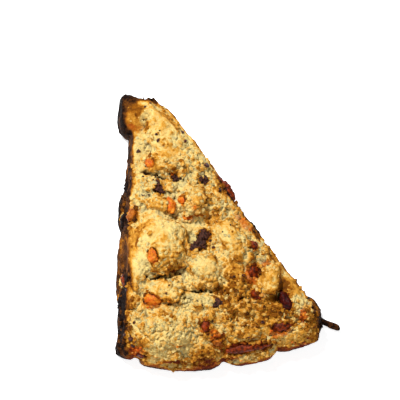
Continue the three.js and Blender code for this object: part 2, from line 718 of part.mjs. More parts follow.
// The dough as baked: with its run onto the tray, its cracks and the pockets of its pieces.
function bakedDough(pieces) {
  let dough = solidOf(doughGeometry()).add(solidOf(runnelGeometry(RUNNEL)));
  for (const crack of CRACKS) dough = dough.subtract(solidOf(trenchGeometry(crack)));
  const tear = new THREE.IcosahedronGeometry(1, 1)
    .scale(TEAR.long, TEAR.wide, TEAR.deep)
    .translate(TEAR.x, TEAR.y, TEAR.z);
  dough = dough.subtract(solidOf(tear));
  for (const piece of pieces) dough = dough.subtract(solidOf(pieceGeometry(piece, GAP)));
  const largest = dough.decompose().sort((a, b) => b.volume() - a.volume())[0];
  return geometryOf(largest);
}

function meshOf(name, geometry, material) {
  const mesh = new THREE.Mesh(geometry, new THREE.MeshStandardMaterial({ ...material, metalness: 0 }));
  mesh.name = name;
  return mesh;
}

const scone = new THREE.Group();
const pieces = [...TOP_PIECES, ...SIDE_PIECES].map((piece, i) => placed(piece, 10 * i));
scone.add(meshOf("dough", bakedDough(pieces), MATERIALS.dough));
for (const piece of pieces) {
  scone.add(meshOf(piece.name, pieceGeometry(piece), MATERIALS[piece.kind]));
}

// The frame's origin is the middle of the foot's box.
const box = new THREE.Box3().setFromObject(scone, true);
const middle = box.getCenter(new THREE.Vector3()).setZ(0);
for (const mesh of scone.children) mesh.position.sub(middle);

export default scone;
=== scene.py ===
"""A wedge-shaped scone with chocolate and dried apricot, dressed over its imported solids.

The dough is refined from its solid and sculpted into crumb, crags and cracks. Crumbs, flecks of
chocolate and shreds of apricot lie on it, and each baked-in piece gets its own skin. Lengths in
the dataclasses are millimetres, and meshes are metres.
"""

import logging
import math
import random
from collections.abc import Callable
from dataclasses import dataclass
from enum import Enum

import bpy
import numpy as np
from mathutils import Matrix, Vector, kdtree, noise


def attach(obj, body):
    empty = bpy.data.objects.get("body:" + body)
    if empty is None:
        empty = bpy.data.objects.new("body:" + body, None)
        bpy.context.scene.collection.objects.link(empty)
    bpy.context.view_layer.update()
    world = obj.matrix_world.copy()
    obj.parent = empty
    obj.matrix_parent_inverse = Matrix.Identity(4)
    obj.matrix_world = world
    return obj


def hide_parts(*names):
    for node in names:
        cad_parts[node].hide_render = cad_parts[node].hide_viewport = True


Piece = bpy.types.Object
Socket = bpy.types.NodeSocket
Material = bpy.types.Material
Triple = tuple[float, float, float]

MM = 0.001
# Without a seed noise_vector starts from the clock, and each run looks different.
DRIFT_SEED = 5

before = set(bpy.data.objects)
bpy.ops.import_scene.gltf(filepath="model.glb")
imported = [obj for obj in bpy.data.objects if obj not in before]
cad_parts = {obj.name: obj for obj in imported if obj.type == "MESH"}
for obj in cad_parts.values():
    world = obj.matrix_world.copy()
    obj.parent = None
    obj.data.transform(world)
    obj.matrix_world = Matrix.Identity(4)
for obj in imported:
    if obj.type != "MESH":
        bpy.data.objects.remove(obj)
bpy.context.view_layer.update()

logging.basicConfig(level=logging.INFO, format="%(levelname)s %(message)s")
log = logging.getLogger("scone")


# Mesh handling


def deselect_all() -> None:
    """Leaves object mode with nothing selected and nothing active."""
    if bpy.context.object and bpy.context.object.mode != "OBJECT":
        bpy.ops.object.mode_set(mode="OBJECT")
    bpy.ops.object.select_all(action="DESELECT")
    bpy.context.view_layer.objects.active = None


def take(piece: Piece) -> None:
    """Makes a piece the only selected and the active object.

    Args:
        piece: The object to work on next.
    """
    deselect_all()
    piece.select_set(True)
    bpy.context.view_layer.objects.active = piece


def apply_modifiers(piece: Piece) -> None:
    """Applies every modifier of a piece, in order.

    Args:
        piece: The object whose modifiers become its mesh.
    """
    take(piece)
    for name in [modifier.name for modifier in piece.modifiers]:
        bpy.ops.object.modifier_apply(modifier=name)


def copy_of_node(node: str, name: str) -> Piece:
    """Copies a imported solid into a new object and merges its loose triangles.

    Args:
        node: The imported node's name.
        name: The new object's name.

    Returns:
        The new object, with its own merged mesh.
    """
    piece = bpy.data.objects.new(name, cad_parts[node].data.copy())
    piece.data.name = name
    bpy.context.scene.collection.objects.link(piece)
    piece.data.materials.clear()
    take(piece)
    bpy.ops.object.mode_set(mode="EDIT")
    bpy.ops.mesh.select_all(action="SELECT")
    bpy.ops.mesh.remove_doubles(threshold=2e-6)
    bpy.ops.object.mode_set(mode="OBJECT")
    return piece


def points_of(piece: Piece) -> np.ndarray:
    """Gives the places of a mesh's vertices, in millimetres, one row each."""
    flat = np.empty(len(piece.data.vertices) * 3)
    piece.data.vertices.foreach_get("co", flat)
    return flat.reshape(-1, 3) / MM


def normals_of(piece: Piece) -> np.ndarray:
    """Gives the outward directions at a mesh's vertices, one row each."""
    flat = np.empty(len(piece.data.vertices) * 3)
    piece.data.vertices.foreach_get("normal", flat)
    return flat.reshape(-1, 3)


def move_to(piece: Piece, points: np.ndarray) -> None:
    """Puts a mesh's vertices at new places.

    Args:
        piece: The object whose mesh moves.
        points: The new places in millimetres, one row for each vertex.
    """
    piece.data.vertices.foreach_set("co", (points * MM).ravel())
    piece.data.update()


def store(piece: Piece, name: str, values: np.ndarray) -> None:
    """Keeps one number for each vertex, for the materials to read.

    Args:
        piece: The object whose mesh holds the numbers.
        name: The attribute's name.
        values: The numbers, one for each vertex.
    """
    found = piece.data.attributes.get(name)
    layer = found or piece.data.attributes.new(name, "FLOAT", "POINT")
    layer.data.foreach_set("value", values.astype(np.float32))


def edges_of(piece: Piece) -> np.ndarray:
    """Gives the two vertices of each edge, one row each."""
    flat = np.empty(len(piece.data.edges) * 2, dtype=np.int64)
    piece.data.edges.foreach_get("vertices", flat)
    return flat.reshape(-1, 2)


def evened(values: np.ndarray, edges: np.ndarray, times: int) -> np.ndarray:
    """Averages values with their neighbours along the edges.

    Args:
        values: One row for each vertex.
        edges: The two vertices of each edge.
        times: How often each value moves to its neighbours' mean.

    Returns:
        The evened values.
    """
    ends = np.concatenate([edges[:, 0], edges[:, 1]])
    others = np.concatenate([edges[:, 1], edges[:, 0]])
    count = np.bincount(ends, minlength=len(values)).clip(1)
    for _ in range(times):
        sums = [
            np.bincount(ends, weights=column[others], minlength=len(values))
            for column in values.T.reshape(-1, len(values))
        ]
        mean = np.array(sums) / count
        values = mean.T.reshape(values.shape) * 0.5 + values * 0.5
    return values


def gap_to(points: np.ndarray, nodes: tuple[str, ...]) -> np.ndarray:
    """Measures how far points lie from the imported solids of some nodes.

    Args:
        points: The points, one row each.
        nodes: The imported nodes' names.

    Returns:
        The distance to the nearest corner of those solids, in millimetres.
    """
    corners = [corner.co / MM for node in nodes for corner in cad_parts[node].data.vertices]
    tree = kdtree.KDTree(len(corners))
    for number, corner in enumerate(corners):
        tree.insert(corner, number)
    tree.balance()
    return np.array([tree.find(Vector(point))[2] for point in points])


def smoothstep(low: float, high: float, values: np.ndarray) -> np.ndarray:
    """Rises from 0 at low to 1 at high, with soft ends."""
    t = np.clip((values - low) / (high - low), 0.0, 1.0)
    return t * t * (3.0 - 2.0 * t)


def rgb(red: int, green: int, blue: int) -> Triple:
    """Turns a colour as a screen shows it, 0 to 255, into the values that shaders take."""
    return tuple(
        level / 12.92 if level <= 0.04045 else ((level + 0.055) / 1.055) ** 2.4
        for level in (red / 255, green / 255, blue / 255)
    )


# Relief


@dataclass(frozen=True)
class Grain:
    """Bumps of one size, in millimetres, that can be flattened into layers."""

    size: float
    seed: float = 0.0
    flat: float = 1.0

    def places(self, points: np.ndarray) -> np.ndarray:
        """Scales points so that bumps are one unit apart."""
        return points / self.size * np.array([1.0, 1.0, self.flat]) + self.seed

    def waves(self, points: np.ndarray) -> np.ndarray:
        """Smooth noise from -1 to 1 at each point."""
        return np.array([noise.noise(Vector(p)) for p in self.places(points)])

    def drift(self, points: np.ndarray, reach: float) -> np.ndarray:
        """Shifts points in random directions by up to the reach, so that forms lose their order."""
        moved = np.array([noise.noise_vector(Vector(p)) for p in self.places(points)])
        return points + reach * moved

    def billows(self, points: np.ndarray) -> np.ndarray:
        """Rounded bumps with sharp creases between them, from about -0.5 to 1.

        Each finer scale is strong on the bumps and weak in the creases, as on torn crumb.
        """
        total = np.full(len(points), -0.5)
        share = np.ones(len(points))
        for step in range(3):
            finer = Grain(self.size / 2**step, self.seed + 7.0 * step, self.flat)
            bump = np.abs(finer.waves(points)).clip(0.0, 0.6) / 0.6
            total += share * bump * 0.6**step
            share = share * (0.35 + 0.65 * bump)
        return total

    def nodules(self, points: np.ndarray) -> np.ndarray:
        """Separate grains of unequal height, from 0 in the dips between them to 1."""
        found = [noise.voronoi(Vector(p)) for p in self.places(points)]
        near = np.array([(d[0], d[1]) for d, _ in found])
        middle = np.array([tuple(m[0]) for _, m in found])
        chance = np.sin(middle @ np.array([12.9898, 78.233, 37.719])) * 43758.5453
        height = 0.40 + 0.60 * (chance - np.floor(chance))
        inward = np.clip((near[:, 1] - near[:, 0]) / 0.7, 0.0, 1.0)
        return height * (inward * (2.0 - inward)) ** 0.8


@dataclass(frozen=True)
class Oval:
    """An oval place on the top of the scone, in millimetres and degrees."""

    x: float
    y: float
    long: float
    wide: float
    turn: float = 0.0

    def weight(self, points: np.ndarray, ragged: np.ndarray) -> np.ndarray:
        """How much each point belongs to the place.

        Args:
            points: The points, one row each.
            ragged: Noise from -1 to 1 that breaks up the edge.

        Returns:
            A weight from 0 to 1 for each point.
        """
        return 1.0 - smoothstep(0.55, 1.25, self.reach(points) + 0.35 * ragged)

    def reach(self, points: np.ndarray) -> np.ndarray:
        """Gives each point's distance from the middle, which is 1 on the oval's line."""
        turn = math.radians(self.turn)
        dx, dy = points[:, 0] - self.x, points[:, 1] - self.y
        a = (dx * math.cos(turn) + dy * math.sin(turn)) / self.long
        b = (dy * math.cos(turn) - dx * math.sin(turn)) / self.wide
        return np.hypot(a, b)

    def hill(self, points: np.ndarray) -> np.ndarray:
        """Gives each point a weight that falls off softly, from 1 in the middle."""
        return np.exp(-(self.reach(points) ** 2))


class Baking(Enum):
    """How the oven left a place on the crust."""

    PALE = 0.10
    CREAM = 0.25
    GOLD = 0.47
    TOAST = 0.70
    BROWN = 0.82
    BURNT = 0.98
    RUSSET = None


PALE, CREAM, GOLD, TOAST, BROWN, BURNT, RUSSET = Baking


def table(make: Callable, *rows: tuple) -> tuple:
    """Makes one thing from each row of values."""
    return tuple(make(*row) for row in rows)


@dataclass(frozen=True)
class Patch:
    """A place on the crust that baked unlike its surroundings."""

    baking: Baking
    place: Oval
    strength: float

    @classmethod
    def at(cls, baking: Baking, *row: float) -> "Patch":
        """Makes a patch from its oval's five numbers and its strength."""
        return cls(baking, Oval(*row[:5]), row[5])


@dataclass(frozen=True)
class Tone:
    """A place made a little darker, or below zero a little paler; it serves for baking and for
    painted light and shade.
    """

    place: Oval
    change: float

    @classmethod
    def at(cls, *row: float) -> "Tone":
        """Makes a tone from the first four numbers of its oval and its change."""
        return cls(Oval(*row[:4]), row[4])


@dataclass(frozen=True)
class Swell:
    """A place where the dough stands out further, and how far and which way."""

    place: Oval
    push: Triple


@dataclass(frozen=True)
class Crack:
    """A split in the crust along a path of (x, y) points."""

    path: tuple[tuple[float, float], ...]
    width: float
    depth: float

    def distance(self, points: np.ndarray) -> tuple[np.ndarray, np.ndarray]:
        """Measures how far points lie from the path, seen from above.

        Args:
            points: The points, one row each.

        Returns:
            The distance in millimetres, and how far along the path the nearest place is, from
            0 to 1.
        """
        best = np.full(len(points), 1e9)
        along = np.zeros(len(points))
        steps = len(self.path) - 1
        for i in range(steps):
            start, end = np.array(self.path[i]), np.array(self.path[i + 1])
            run = end - start
            t = np.clip((points[:, :2] - start) @ run / (run @ run), 0.0, 1.0)
            gap = np.hypot(*(points[:, :2] - start - t[:, None] * run).T)
            nearer = gap < best
            best[nearer] = gap[nearer]
            along[nearer] = ((i + t) / steps)[nearer]
        return best, along


# Finishes


@dataclass(frozen=True)
class Nodes:
    """Adds and joins the nodes of one material."""

    material: Material

    def add(self, kind: str, **values: object) -> bpy.types.Node:
        """Adds a node and sets its properties."""
        node = self.material.node_tree.nodes.new(kind)
        for name, value in values.items():
            setattr(node, name, value)
        return node

    def join(self, start: Socket, end: Socket) -> None:
        """Links an output to an input."""
        self.material.node_tree.links.new(start, end)

    def attribute(self, name: str) -> Socket:
        """Reads one number for each vertex."""
        return self.add("ShaderNodeAttribute", attribute_name=name).outputs["Fac"]

    def speckle(self, size: float, detail: float = 3.0, rough: float = 0.6) -> Socket:
        """Gives noise with bumps of a size in millimetres, from 0 to 1."""
        place = self.add("ShaderNodeTexCoord").outputs["Object"]
        node = self.add("ShaderNodeTexNoise")
        node.inputs["Scale"].default_value = 1.0 / (size * MM)
        node.inputs["Detail"].default_value = detail
        node.inputs["Roughness"].default_value = rough
        self.join(place, node.inputs["Vector"])
        return node.outputs["Fac"]

    def grains(self, size: float) -> Socket:
        """Gives the distance to the nearest grain's middle, for grains of a size in millimetres."""
        place = self.add("ShaderNodeTexCoord").outputs["Object"]
        node = self.add("ShaderNodeTexVoronoi", feature="F1")
        node.inputs["Scale"].default_value = 1.0 / (size * MM)
        self.join(place, node.inputs["Vector"])
        return node.outputs["Distance"]

    def math(self, operation: str, a: object, b: object) -> Socket:
        """Works on two values, each a socket or a number."""
        node = self.add("ShaderNodeMath", operation=operation)
        for socket, value in zip(node.inputs, (a, b)):
            if isinstance(value, Socket):
                self.join(value, socket)
            else:
                socket.default_value = value
        return node.outputs[0]

    def spread(self, value: Socket, low: float, high: float) -> Socket:
        """Stretches low and high to 0 and 1, and clamps."""
        node = self.add("ShaderNodeMapRange", clamp=True)
        self.join(value, node.inputs["Value"])
        node.inputs["From Min"].default_value = low
        node.inputs["From Max"].default_value = high
        return node.outputs["Result"]

    def ramp(self, value: Socket, stops: tuple[tuple[float, Triple], ...]) -> Socket:
        """Turns a value into a colour by its place between colour stops."""
        node = self.add("ShaderNodeValToRGB")
        elements = node.color_ramp.elements
        while len(elements) < len(stops):
            elements.new(0.5)
        for element, (place, colour) in zip(elements, stops):
            element.position = place
            element.color = (*colour, 1.0)
        self.join(value, node.inputs["Fac"])
        return node.outputs["Color"]

    def blend(self, amount: Socket, a: object, b: object, how: str = "MIX") -> Socket:
        """Blends two colours, each a socket or three numbers."""
        node = self.add("ShaderNodeMix", data_type="RGBA", blend_type=how)
        self.join(amount, node.inputs["Factor"])
        for socket, value in ((node.inputs[6], a), (node.inputs[7], b)):
            if isinstance(value, Socket):
                self.join(value, socket)
            else:
                socket.default_value = (*value, 1.0)
        return node.outputs[2]

    def bump(self, height: Socket, depth: float) -> Socket:
        """Turns a height from 0 to 1 into relief of a depth in millimetres."""
        node = self.add("ShaderNodeBump")
        node.inputs["Strength"].default_value = 1.0
        node.inputs["Distance"].default_value = depth * MM
        self.join(height, node.inputs["Height"])
        return node.outputs["Normal"]


def new_material(name: str) -> tuple[Nodes, bpy.types.Node]:
    """Makes a material with only its shader and output.

    Args:
        name: The material's name.

    Returns:
        The helper for its nodes, and the shader node.
    """
    material = bpy.data.materials.new(name)
    material.use_nodes = True
    shader = material.node_tree.nodes["Principled BSDF"]
    return Nodes(material), shader


@dataclass(frozen=True)
class CrustFinish:
    """Baked dough: pale crumb in the dips, gold on the lumps, brown to black at the walls, with
    painted shade in the creases and cracks.
    """

    crumb: Triple = rgb(208, 190, 132)
    cream: Triple = rgb(244, 216, 136)
    gold: Triple = rgb(226, 162, 60)
    amber: Triple = rgb(160, 94, 18)
    brown: Triple = rgb(94, 53, 19)
    burnt: Triple = rgb(24, 12, 7)
    russet: Triple = rgb(196, 84, 22)
    russet_brown: Triple = rgb(104, 32, 10)
    shade: Triple = rgb(112, 80, 14)
    specular: float = 0.04
    relief: float = 0.58

    def make(self) -> Material:
        """Makes the material.

        Returns:
            The material, which reads the attributes browning, russet and crumbly, and the attribute
            of painted shade.
        """
        nodes, shader = new_material("baked_crust")
        coarse = nodes.math("SUBTRACT", nodes.speckle(2.6, 4.0, 0.62), 0.5)
        fine = nodes.math("SUBTRACT", nodes.speckle(0.9, 3.0, 0.7), 0.5)
        grit = nodes.math("MULTIPLY", nodes.math("ADD", nodes.attribute("crumbly"), 0.35), 0.44)
        shift = nodes.math(
            "ADD", nodes.math("MULTIPLY", coarse, 0.42), nodes.math("MULTIPLY", fine, grit)
        )
        baking = nodes.attribute("browning")
        baked = nodes.math("ADD", baking, shift)
        colour = nodes.ramp(
            baked,
            (
                (0.05, self.crumb),
                (0.22, self.cream),
                (0.44, self.gold),
                (0.64, self.amber),
                (0.82, self.brown),
                (0.98, self.burnt),
            ),
        )
        stain = nodes.math("ADD", nodes.attribute("russet"), nodes.math("MULTIPLY", shift, 1.2))
        stained = nodes.blend(nodes.spread(baking, 0.5, 0.85), self.russet, self.russet_brown)
        colour = nodes.blend(nodes.spread(stain, 0.3, 0.85), colour, stained)
        # Painted shade: creases, cracks and undersides darken with the shade colour, and the
        # deepest cracks turn near black as painted shadow.
        painted_shade_amount = nodes.math("ADD", nodes.attribute("painted_shade"), nodes.math("MULTIPLY", fine, 0.4))
        colour = nodes.blend(nodes.spread(painted_shade_amount, 0.15, 1.15), colour, self.shade, "MULTIPLY")
        colour = nodes.blend(nodes.spread(painted_shade_amount, 0.75, 1.35), colour, self.burnt)
        nodes.join(colour, shader.inputs["Base Color"])
        rough = nodes.math("ADD", nodes.math("MULTIPLY", coarse, 0.4), 0.72)
        nodes.join(rough, shader.inputs["Roughness"])
        shader.inputs["Specular IOR Level"].default_value = self.specular
        dimples = nodes.math("MULTIPLY", nodes.grains(0.8), 0.35)
        height = nodes.math("SUBTRACT", nodes.speckle(0.8, 4.0, 0.72), dimples)
        nodes.join(nodes.bump(height, self.relief), shader.inputs["Normal"])
        return nodes.material


@dataclass(frozen=True)
class FruitFinish:
    """Dried fruit: sticky and a little translucent, darker where it baked longer."""

    name: str
    bright: Triple
    deep: Triple
    roughness: float = 0.30
    specular: float = 0.15
    glow: float = 0.12
    glow_reach: Triple = (0.0014, 0.0005, 0.0002)

    def make(self) -> Material:
        """Makes the material."""
        nodes, shader = new_material(self.name)
        mottle = nodes.speckle(1.3, 4.0, 0.65)
        colour = nodes.blend(nodes.spread(mottle, 0.38, 0.60), self.bright, self.deep)
        # Painted shade in the hollows of the folds.
        painted_shade_amount = nodes.spread(nodes.attribute("painted_shade"), 0.5, 1.6)
        colour = nodes.blend(painted_shade_amount, colour, tuple(0.45 * c for c in self.deep))
        nodes.join(colour, shader.inputs["Base Color"])
        nodes.join(
            nodes.math("ADD", nodes.math("MULTIPLY", mottle, 0.3), self.roughness),
            shader.inputs["Roughness"],
        )
        shader.inputs["Subsurface Weight"].default_value = self.glow
        shader.inputs["Subsurface Radius"].default_value = self.glow_reach
        shader.inputs["Subsurface Scale"].default_value = 1.0
        shader.inputs["Specular IOR Level"].default_value = self.specular
        nodes.join(nodes.bump(nodes.speckle(0.7, 3.0), 0.25), shader.inputs["Normal"])
        return nodes.material


@dataclass(frozen=True)
class ChocolateFinish:
    """Dark chocolate that melted and set again, with a dull bloom in places."""

    name: str
    dark: Triple
    bloom: Triple
    specular: float

    def make(self) -> Material:
        """Makes the material."""
        nodes, shader = new_material(self.name)
        mottle = nodes.speckle(0.9, 4.0, 0.7)
        colour = nodes.blend(nodes.spread(mottle, 0.42, 0.62), self.dark, self.bloom)
        nodes.join(colour, shader.inputs["Base Color"])
        nodes.join(
            nodes.math("ADD", nodes.math("MULTIPLY", mottle, 0.5), 0.22), shader.inputs["Roughness"]
        )
        shader.inputs["Specular IOR Level"].default_value = self.specular
        nodes.join(nodes.bump(nodes.speckle(0.9, 3.0), 0.9), shader.inputs["Normal"])
        return nodes.material


class Chocolate(Enum):
    """The tones of the chocolate."""

    TOP = ChocolateFinish("chocolate_top", rgb(32, 12, 8), rgb(104, 58, 42), 0.25)
    # The pieces in the walls get a darker, duller copy, as painted shade for the shaded walls.
    SIDE = ChocolateFinish("chocolate_side", rgb(12, 5, 4), rgb(34, 18, 14), 0.05)


class Fruit(Enum):
    """The tones of the dried fruit."""

    BRIGHT = FruitFinish("apricot_bright", rgb(238, 146, 36), rgb(206, 88, 12))
    GOLDEN = FruitFinish("apricot_golden", rgb(196, 112, 18), rgb(128, 58, 6))
    RED = FruitFinish("apricot_red", rgb(152, 56, 4), rgb(64, 15, 1))
    DARK = FruitFinish("cherry_dark", rgb(84, 18, 8), rgb(38, 5, 4))


# The scone's parts


@dataclass
class Dough:
    """The baked dough, sculpted over its solid."""

    voxel: float = 0.38
    evening: int = 8
    fullness: float = 0.30
    filled: float = 0.85
    highest: float = 29.2
    most_triangles: int = 196_000
    cracks: tuple[Crack, ...] = (
        # Under the first crag
        Crack(
            (
                (-41.3, 22.2), (-37.8, 22.2), (-34.8, 21.2), (-31.3, 20.2), (-27.8, 19.7),
            ),
            0.6,
            2.0,
        ),
        # Under the great lump
        Crack(
            (
                (-39.3, -20.8), (-35.8, -22.3), (-30.3, -21.8), (-23.8, -20.3), (-19.8, -16.8),
            ),
            0.8,
            2.0,
        ),
        # The long crack, its branch, and the short crack right of it
        Crack(
            (
                (-27.3, -24.8), (-24.8, -25.8), (-20.8, -27.3), (-15.3, -27.3), (-8.8, -27.8),
            ),
            0.45,
            2.6,
        ),
        Crack(
            (
                (-20.8, -27.3), (-23.3, -29.8), (-25.3, -32.3), (-28.3, -33.3), (-31.3, -32.8),
            ),
            0.4,
            1.8,
        ),
        Crack(((-5.3, -28.3), (-2.3, -29.8), (-0.3, -30.8), (3.2, -29.3), (5.7, -26.3)), 0.6, 2.4),
        # In the left bank
        Crack(((-46.3, -35.8), (-44.3, -35.3), (-40.3, -35.8)), 0.6, 1.6),
    )
    valleys: tuple[Crack, ...] = (
        # Round the tip knob, and under the golden lump
        Crack(((-37.0, 49.0), (-37.9, 46.5), (-38.8, 43.5), (-40.5, 40.2)), 1.3, 1.0),
        Crack(
            (
                (-35.8, 10.7), (-34.3, 6.2), (-30.3, 4.2), (-24.8, 3.2), (-19.8, 2.2), (-13.8, 1.2),
                (-9.8, 5.2),
            ),
            1.5,
            1.1,
        ),
        # Along the right bank and round the toasted lump
        Crack(
            (
                (1.7, 0.2), (3.2, -5.8), (4.2, -11.3), (3.7, -15.8), (4.2, -21.3), (6.2, -26.8),
            ),
            1.6,
            1.2,
        ),
        Crack(((9.7, -15.3), (9.2, -21.3), (10.2, -26.8), (11.2, -30.8)), 1.2, 1.2),
        Crack(((21.7, -20.8), (19.2, -25.8), (15.7, -30.3), (11.7, -33.3)), 1.6, 1.0),
        # Above the lumps of the rim
        Crack(
            (
                (-5.3, -50.3), (-3.8, -45.8), (-5.3, -41.3), (-0.8, -37.8), (5.7, -39.8),
                (11.2, -44.3), (17.2, -46.3),
            ),
            1.5,
            1.3,
        ),
        Crack(((-15.8, -50.8), (-15.8, -46.3), (-17.3, -41.3), (-15.3, -36.3)), 1.4, 1.2),
        Crack(((-7.3, -52.3), (-1.3, -49.3), (6.7, -48.8), (13.2, -46.8), (17.7, -45.3)), 1.2, 1.4),
        # Beside the dark chunks
        Crack(((-19.3, -1.8), (-19.8, -7.3), (-21.8, -11.8)), 1.4, 1.1),
    )
    patches: tuple[Patch, ...] = table(
        Patch.at,
        # The tip
        (GOLD, -31.3, 44.2, 5.9, 7.6, 40, 0.5), (BROWN, -43.5, 47.0, 6.3, 10.0, 10, 0.85),
        (GOLD, -42.0, 51.8, 2.8, 1.3, 0, 0.55), (GOLD, -45.0, 47.0, 1.6, 2.4, 0, 0.5),
        (BURNT, -41.0, 47.5, 1.2, 3.5, -15, 0.5), (RUSSET, -44.0, 42.5, 2.2, 1.5, 0, 0.6),
        (BURNT, -43.5, 51.5, 5.0, 2.6, 0, 0.55), (PALE, -38.3, 46.2, 2.5, 2.1, 0, 0.45),
        (RUSSET, -40.8, 41.2, 4.2, 1.7, 10, 0.45), (BURNT, -41.5, 55.8, 9.5, 2.6, -5, 1.0),
        (BURNT, -47.3, 48.7, 1.7, 7.6, 0, 0.9), (PALE, -40.8, 33.2, 3.4, 5.9, 0, 0.9),
        # The upper lumps
        (GOLD, -26.3, 30.2, 5.5, 2.9, 0, 0.5), (PALE, -30.5, 26.5, 4.2, 2.5, 0, 0.5),
        (GOLD, -37.3, 23.2, 3.4, 2.1, 0, 0.7), (PALE, -23.8, 16.2, 4.2, 2.9, 0, 0.7),
        (GOLD, -16.8, 10.2, 5.9, 6.7, 0, 0.9), (RUSSET, -17.3, 7.2, 4.2, 3.4, 0, 0.35),
        (GOLD, -31.8, 7.7, 4.6, 2.9, 0, 0.95), (TOAST, -9.8, 3.7, 3.8, 3.4, 30, 0.7),
        (TOAST, -43.3, 3.7, 2.5, 2.9, 0, 0.6),
        # The great lump
        (CREAM, -33.3, -1.8, 7.6, 3.8, 0, 0.7), (PALE, -40.3, -8.3, 3.4, 6.7, 0, 0.6),
        (PALE, -40.0, -17.5, 4.6, 5.0, 0, 0.85), (CREAM, -21.2, 0.4, 4.2, 2.9, 0, 0.7),
        (GOLD, -21.3, -7.3, 3.8, 5.0, 0, 0.5), (TOAST, -26.8, -18.3, 5.5, 3.4, 15, 0.45),
        # The middle
        (PALE, -13.8, -17.3, 7.6, 7.6, 30, 0.55), (GOLD, -11.8, -24.3, 5.0, 2.5, 0, 0.7),
        (GOLD, 0.2, -8.8, 2.9, 3.4, 0, 0.9), (GOLD, -9.8, -13.3, 4.2, 2.5, 0, 0.35),
        (CREAM, -4.3, -2.3, 5.0, 6.7, 30, 0.35), (TOAST, 0.2, -25.3, 5.0, 5.9, 0, 0.65),
        (TOAST, 4.2, -34.3, 6.7, 6.7, 0, 0.5), (PALE, -17.3, -31.3, 9.2, 2.9, 0, 0.9),
        (PALE, -4.3, -41.8, 2.9, 3.8, 0, 0.6), (PALE, 8.2, -35.3, 2.5, 2.5, 0, 0.5),
        (RUSSET, 6.7, -19.8, 3.4, 5.0, -10, 0.7), (TOAST, 6.7, -24.3, 2.5, 3.4, 0, 0.7),
        (TOAST, 17.0, -32.3, 4.6, 3.8, 0, 0.95), (TOAST, 10.5, -33.0, 5.0, 2.9, 0, 0.5),
        (TOAST, 0.5, -16.5, 2.9, 4.2, 30, 0.55),
        # The toasted lump and the right corner
        (GOLD, 13.2, -19.3, 3.4, 5.0, -40, 0.9), (TOAST, 20.2, -24.8, 3.4, 5.0, 35, 0.95),
        (RUSSET, 12.7, -15.3, 2.1, 1.7, 0, 0.6), (TOAST, 14.7, -29.3, 3.8, 2.9, 0, 0.8),
        (PALE, 25.7, -30.3, 2.5, 3.4, 30, 0.6), (GOLD, 31.2, -36.3, 4.2, 2.9, 0, 0.9),
        (RUSSET, 28.2, -36.8, 1.7, 3.4, 0, 0.8), (GOLD, 31.7, -40.3, 4.2, 2.1, 10, 0.8),
        (TOAST, 36.7, -35.3, 2.1, 2.9, 0, 0.4), (CREAM, -23.5, 4.5, 6.5, 4.5, 0, 0.6),
        (CREAM, -29.0, -50.5, 8.0, 3.5, 0, 0.5), (BURNT, 43.7, -38.3, 7.0, 2.5, -20, 0.85),
        (RUSSET, 19.2, -42.8, 5.9, 2.9, 8, 0.7), (BURNT, 38.5, -37.5, 3.0, 4.6, 0, 0.7),
        (GOLD, 25.0, -24.5, 2.5, 5.0, 38, 0.9), (TOAST, 14.5, -35.8, 6.3, 2.9, 0, 0.6),
        (TOAST, -6.5, -27.3, 3.4, 2.5, 0, 0.6),
        # The lumps along the rim
        (GOLD, -15.5, -52.0, 4.2, 4.2, 0, 0.8), (GOLD, 26.7, -44.8, 7.6, 2.5, 25, 0.8),
        (TOAST, 11.2, -39.3, 2.9, 2.1, 0, 0.7), (GOLD, 6.2, -44.8, 5.0, 3.4, 0, 0.8),
        (TOAST, 5.2, -50.3, 13.4, 2.1, 10, 0.85), (RUSSET, 5.2, -50.3, 13.4, 1.7, 10, 0.6),
        (TOAST, -13.3, -43.8, 2.9, 4.2, 0, 0.75), (RUSSET, -7.8, -46.8, 2.5, 5.0, 30, 0.75),
        (TOAST, -15.8, -53.8, 2.9, 3.4, 0, 0.45),
        # The lower left lump and the left corner
        (CREAM, -31.5, -43.5, 9.5, 5.5, 0, 0.6), (GOLD, -14.0, -36.0, 5.0, 3.0, 0, 0.4),
        (GOLD, -29.8, -49.8, 10.9, 3.8, 0, 0.45), (GOLD, -25.8, -54.8, 7.6, 2.5, -8, 0.8),
        (RUSSET, -36.8, -41.8, 3.4, 1.7, 0, 0.35), (RUSSET, -40.8, -51.8, 3.4, 2.1, -20, 0.8),
        (TOAST, -44.8, -51.3, 3.8, 3.8, 0, 0.9), (GOLD, -42.3, -26.8, 2.5, 2.5, 0, 0.95),
        (RUSSET, -34.8, -32.3, 4.6, 3.4, 0, 0.6),
        # The right edge
        (GOLD, 2.7, 1.7, 2.9, 6.3, 38, 0.9), (RUSSET, 3.7, 1.7, 2.1, 5.5, 38, 0.6),
        (BURNT, -1.8, 15.2, 2.1, 7.1, 32, 0.95), (RUSSET, -2.8, 16.2, 1.7, 5.9, 32, 0.3),
        (TOAST, 15.7, -12.3, 2.1, 2.9, 35, 0.8), (BURNT, 9.2, -3.3, 1.3, 3.4, 38, 0.9),
    )
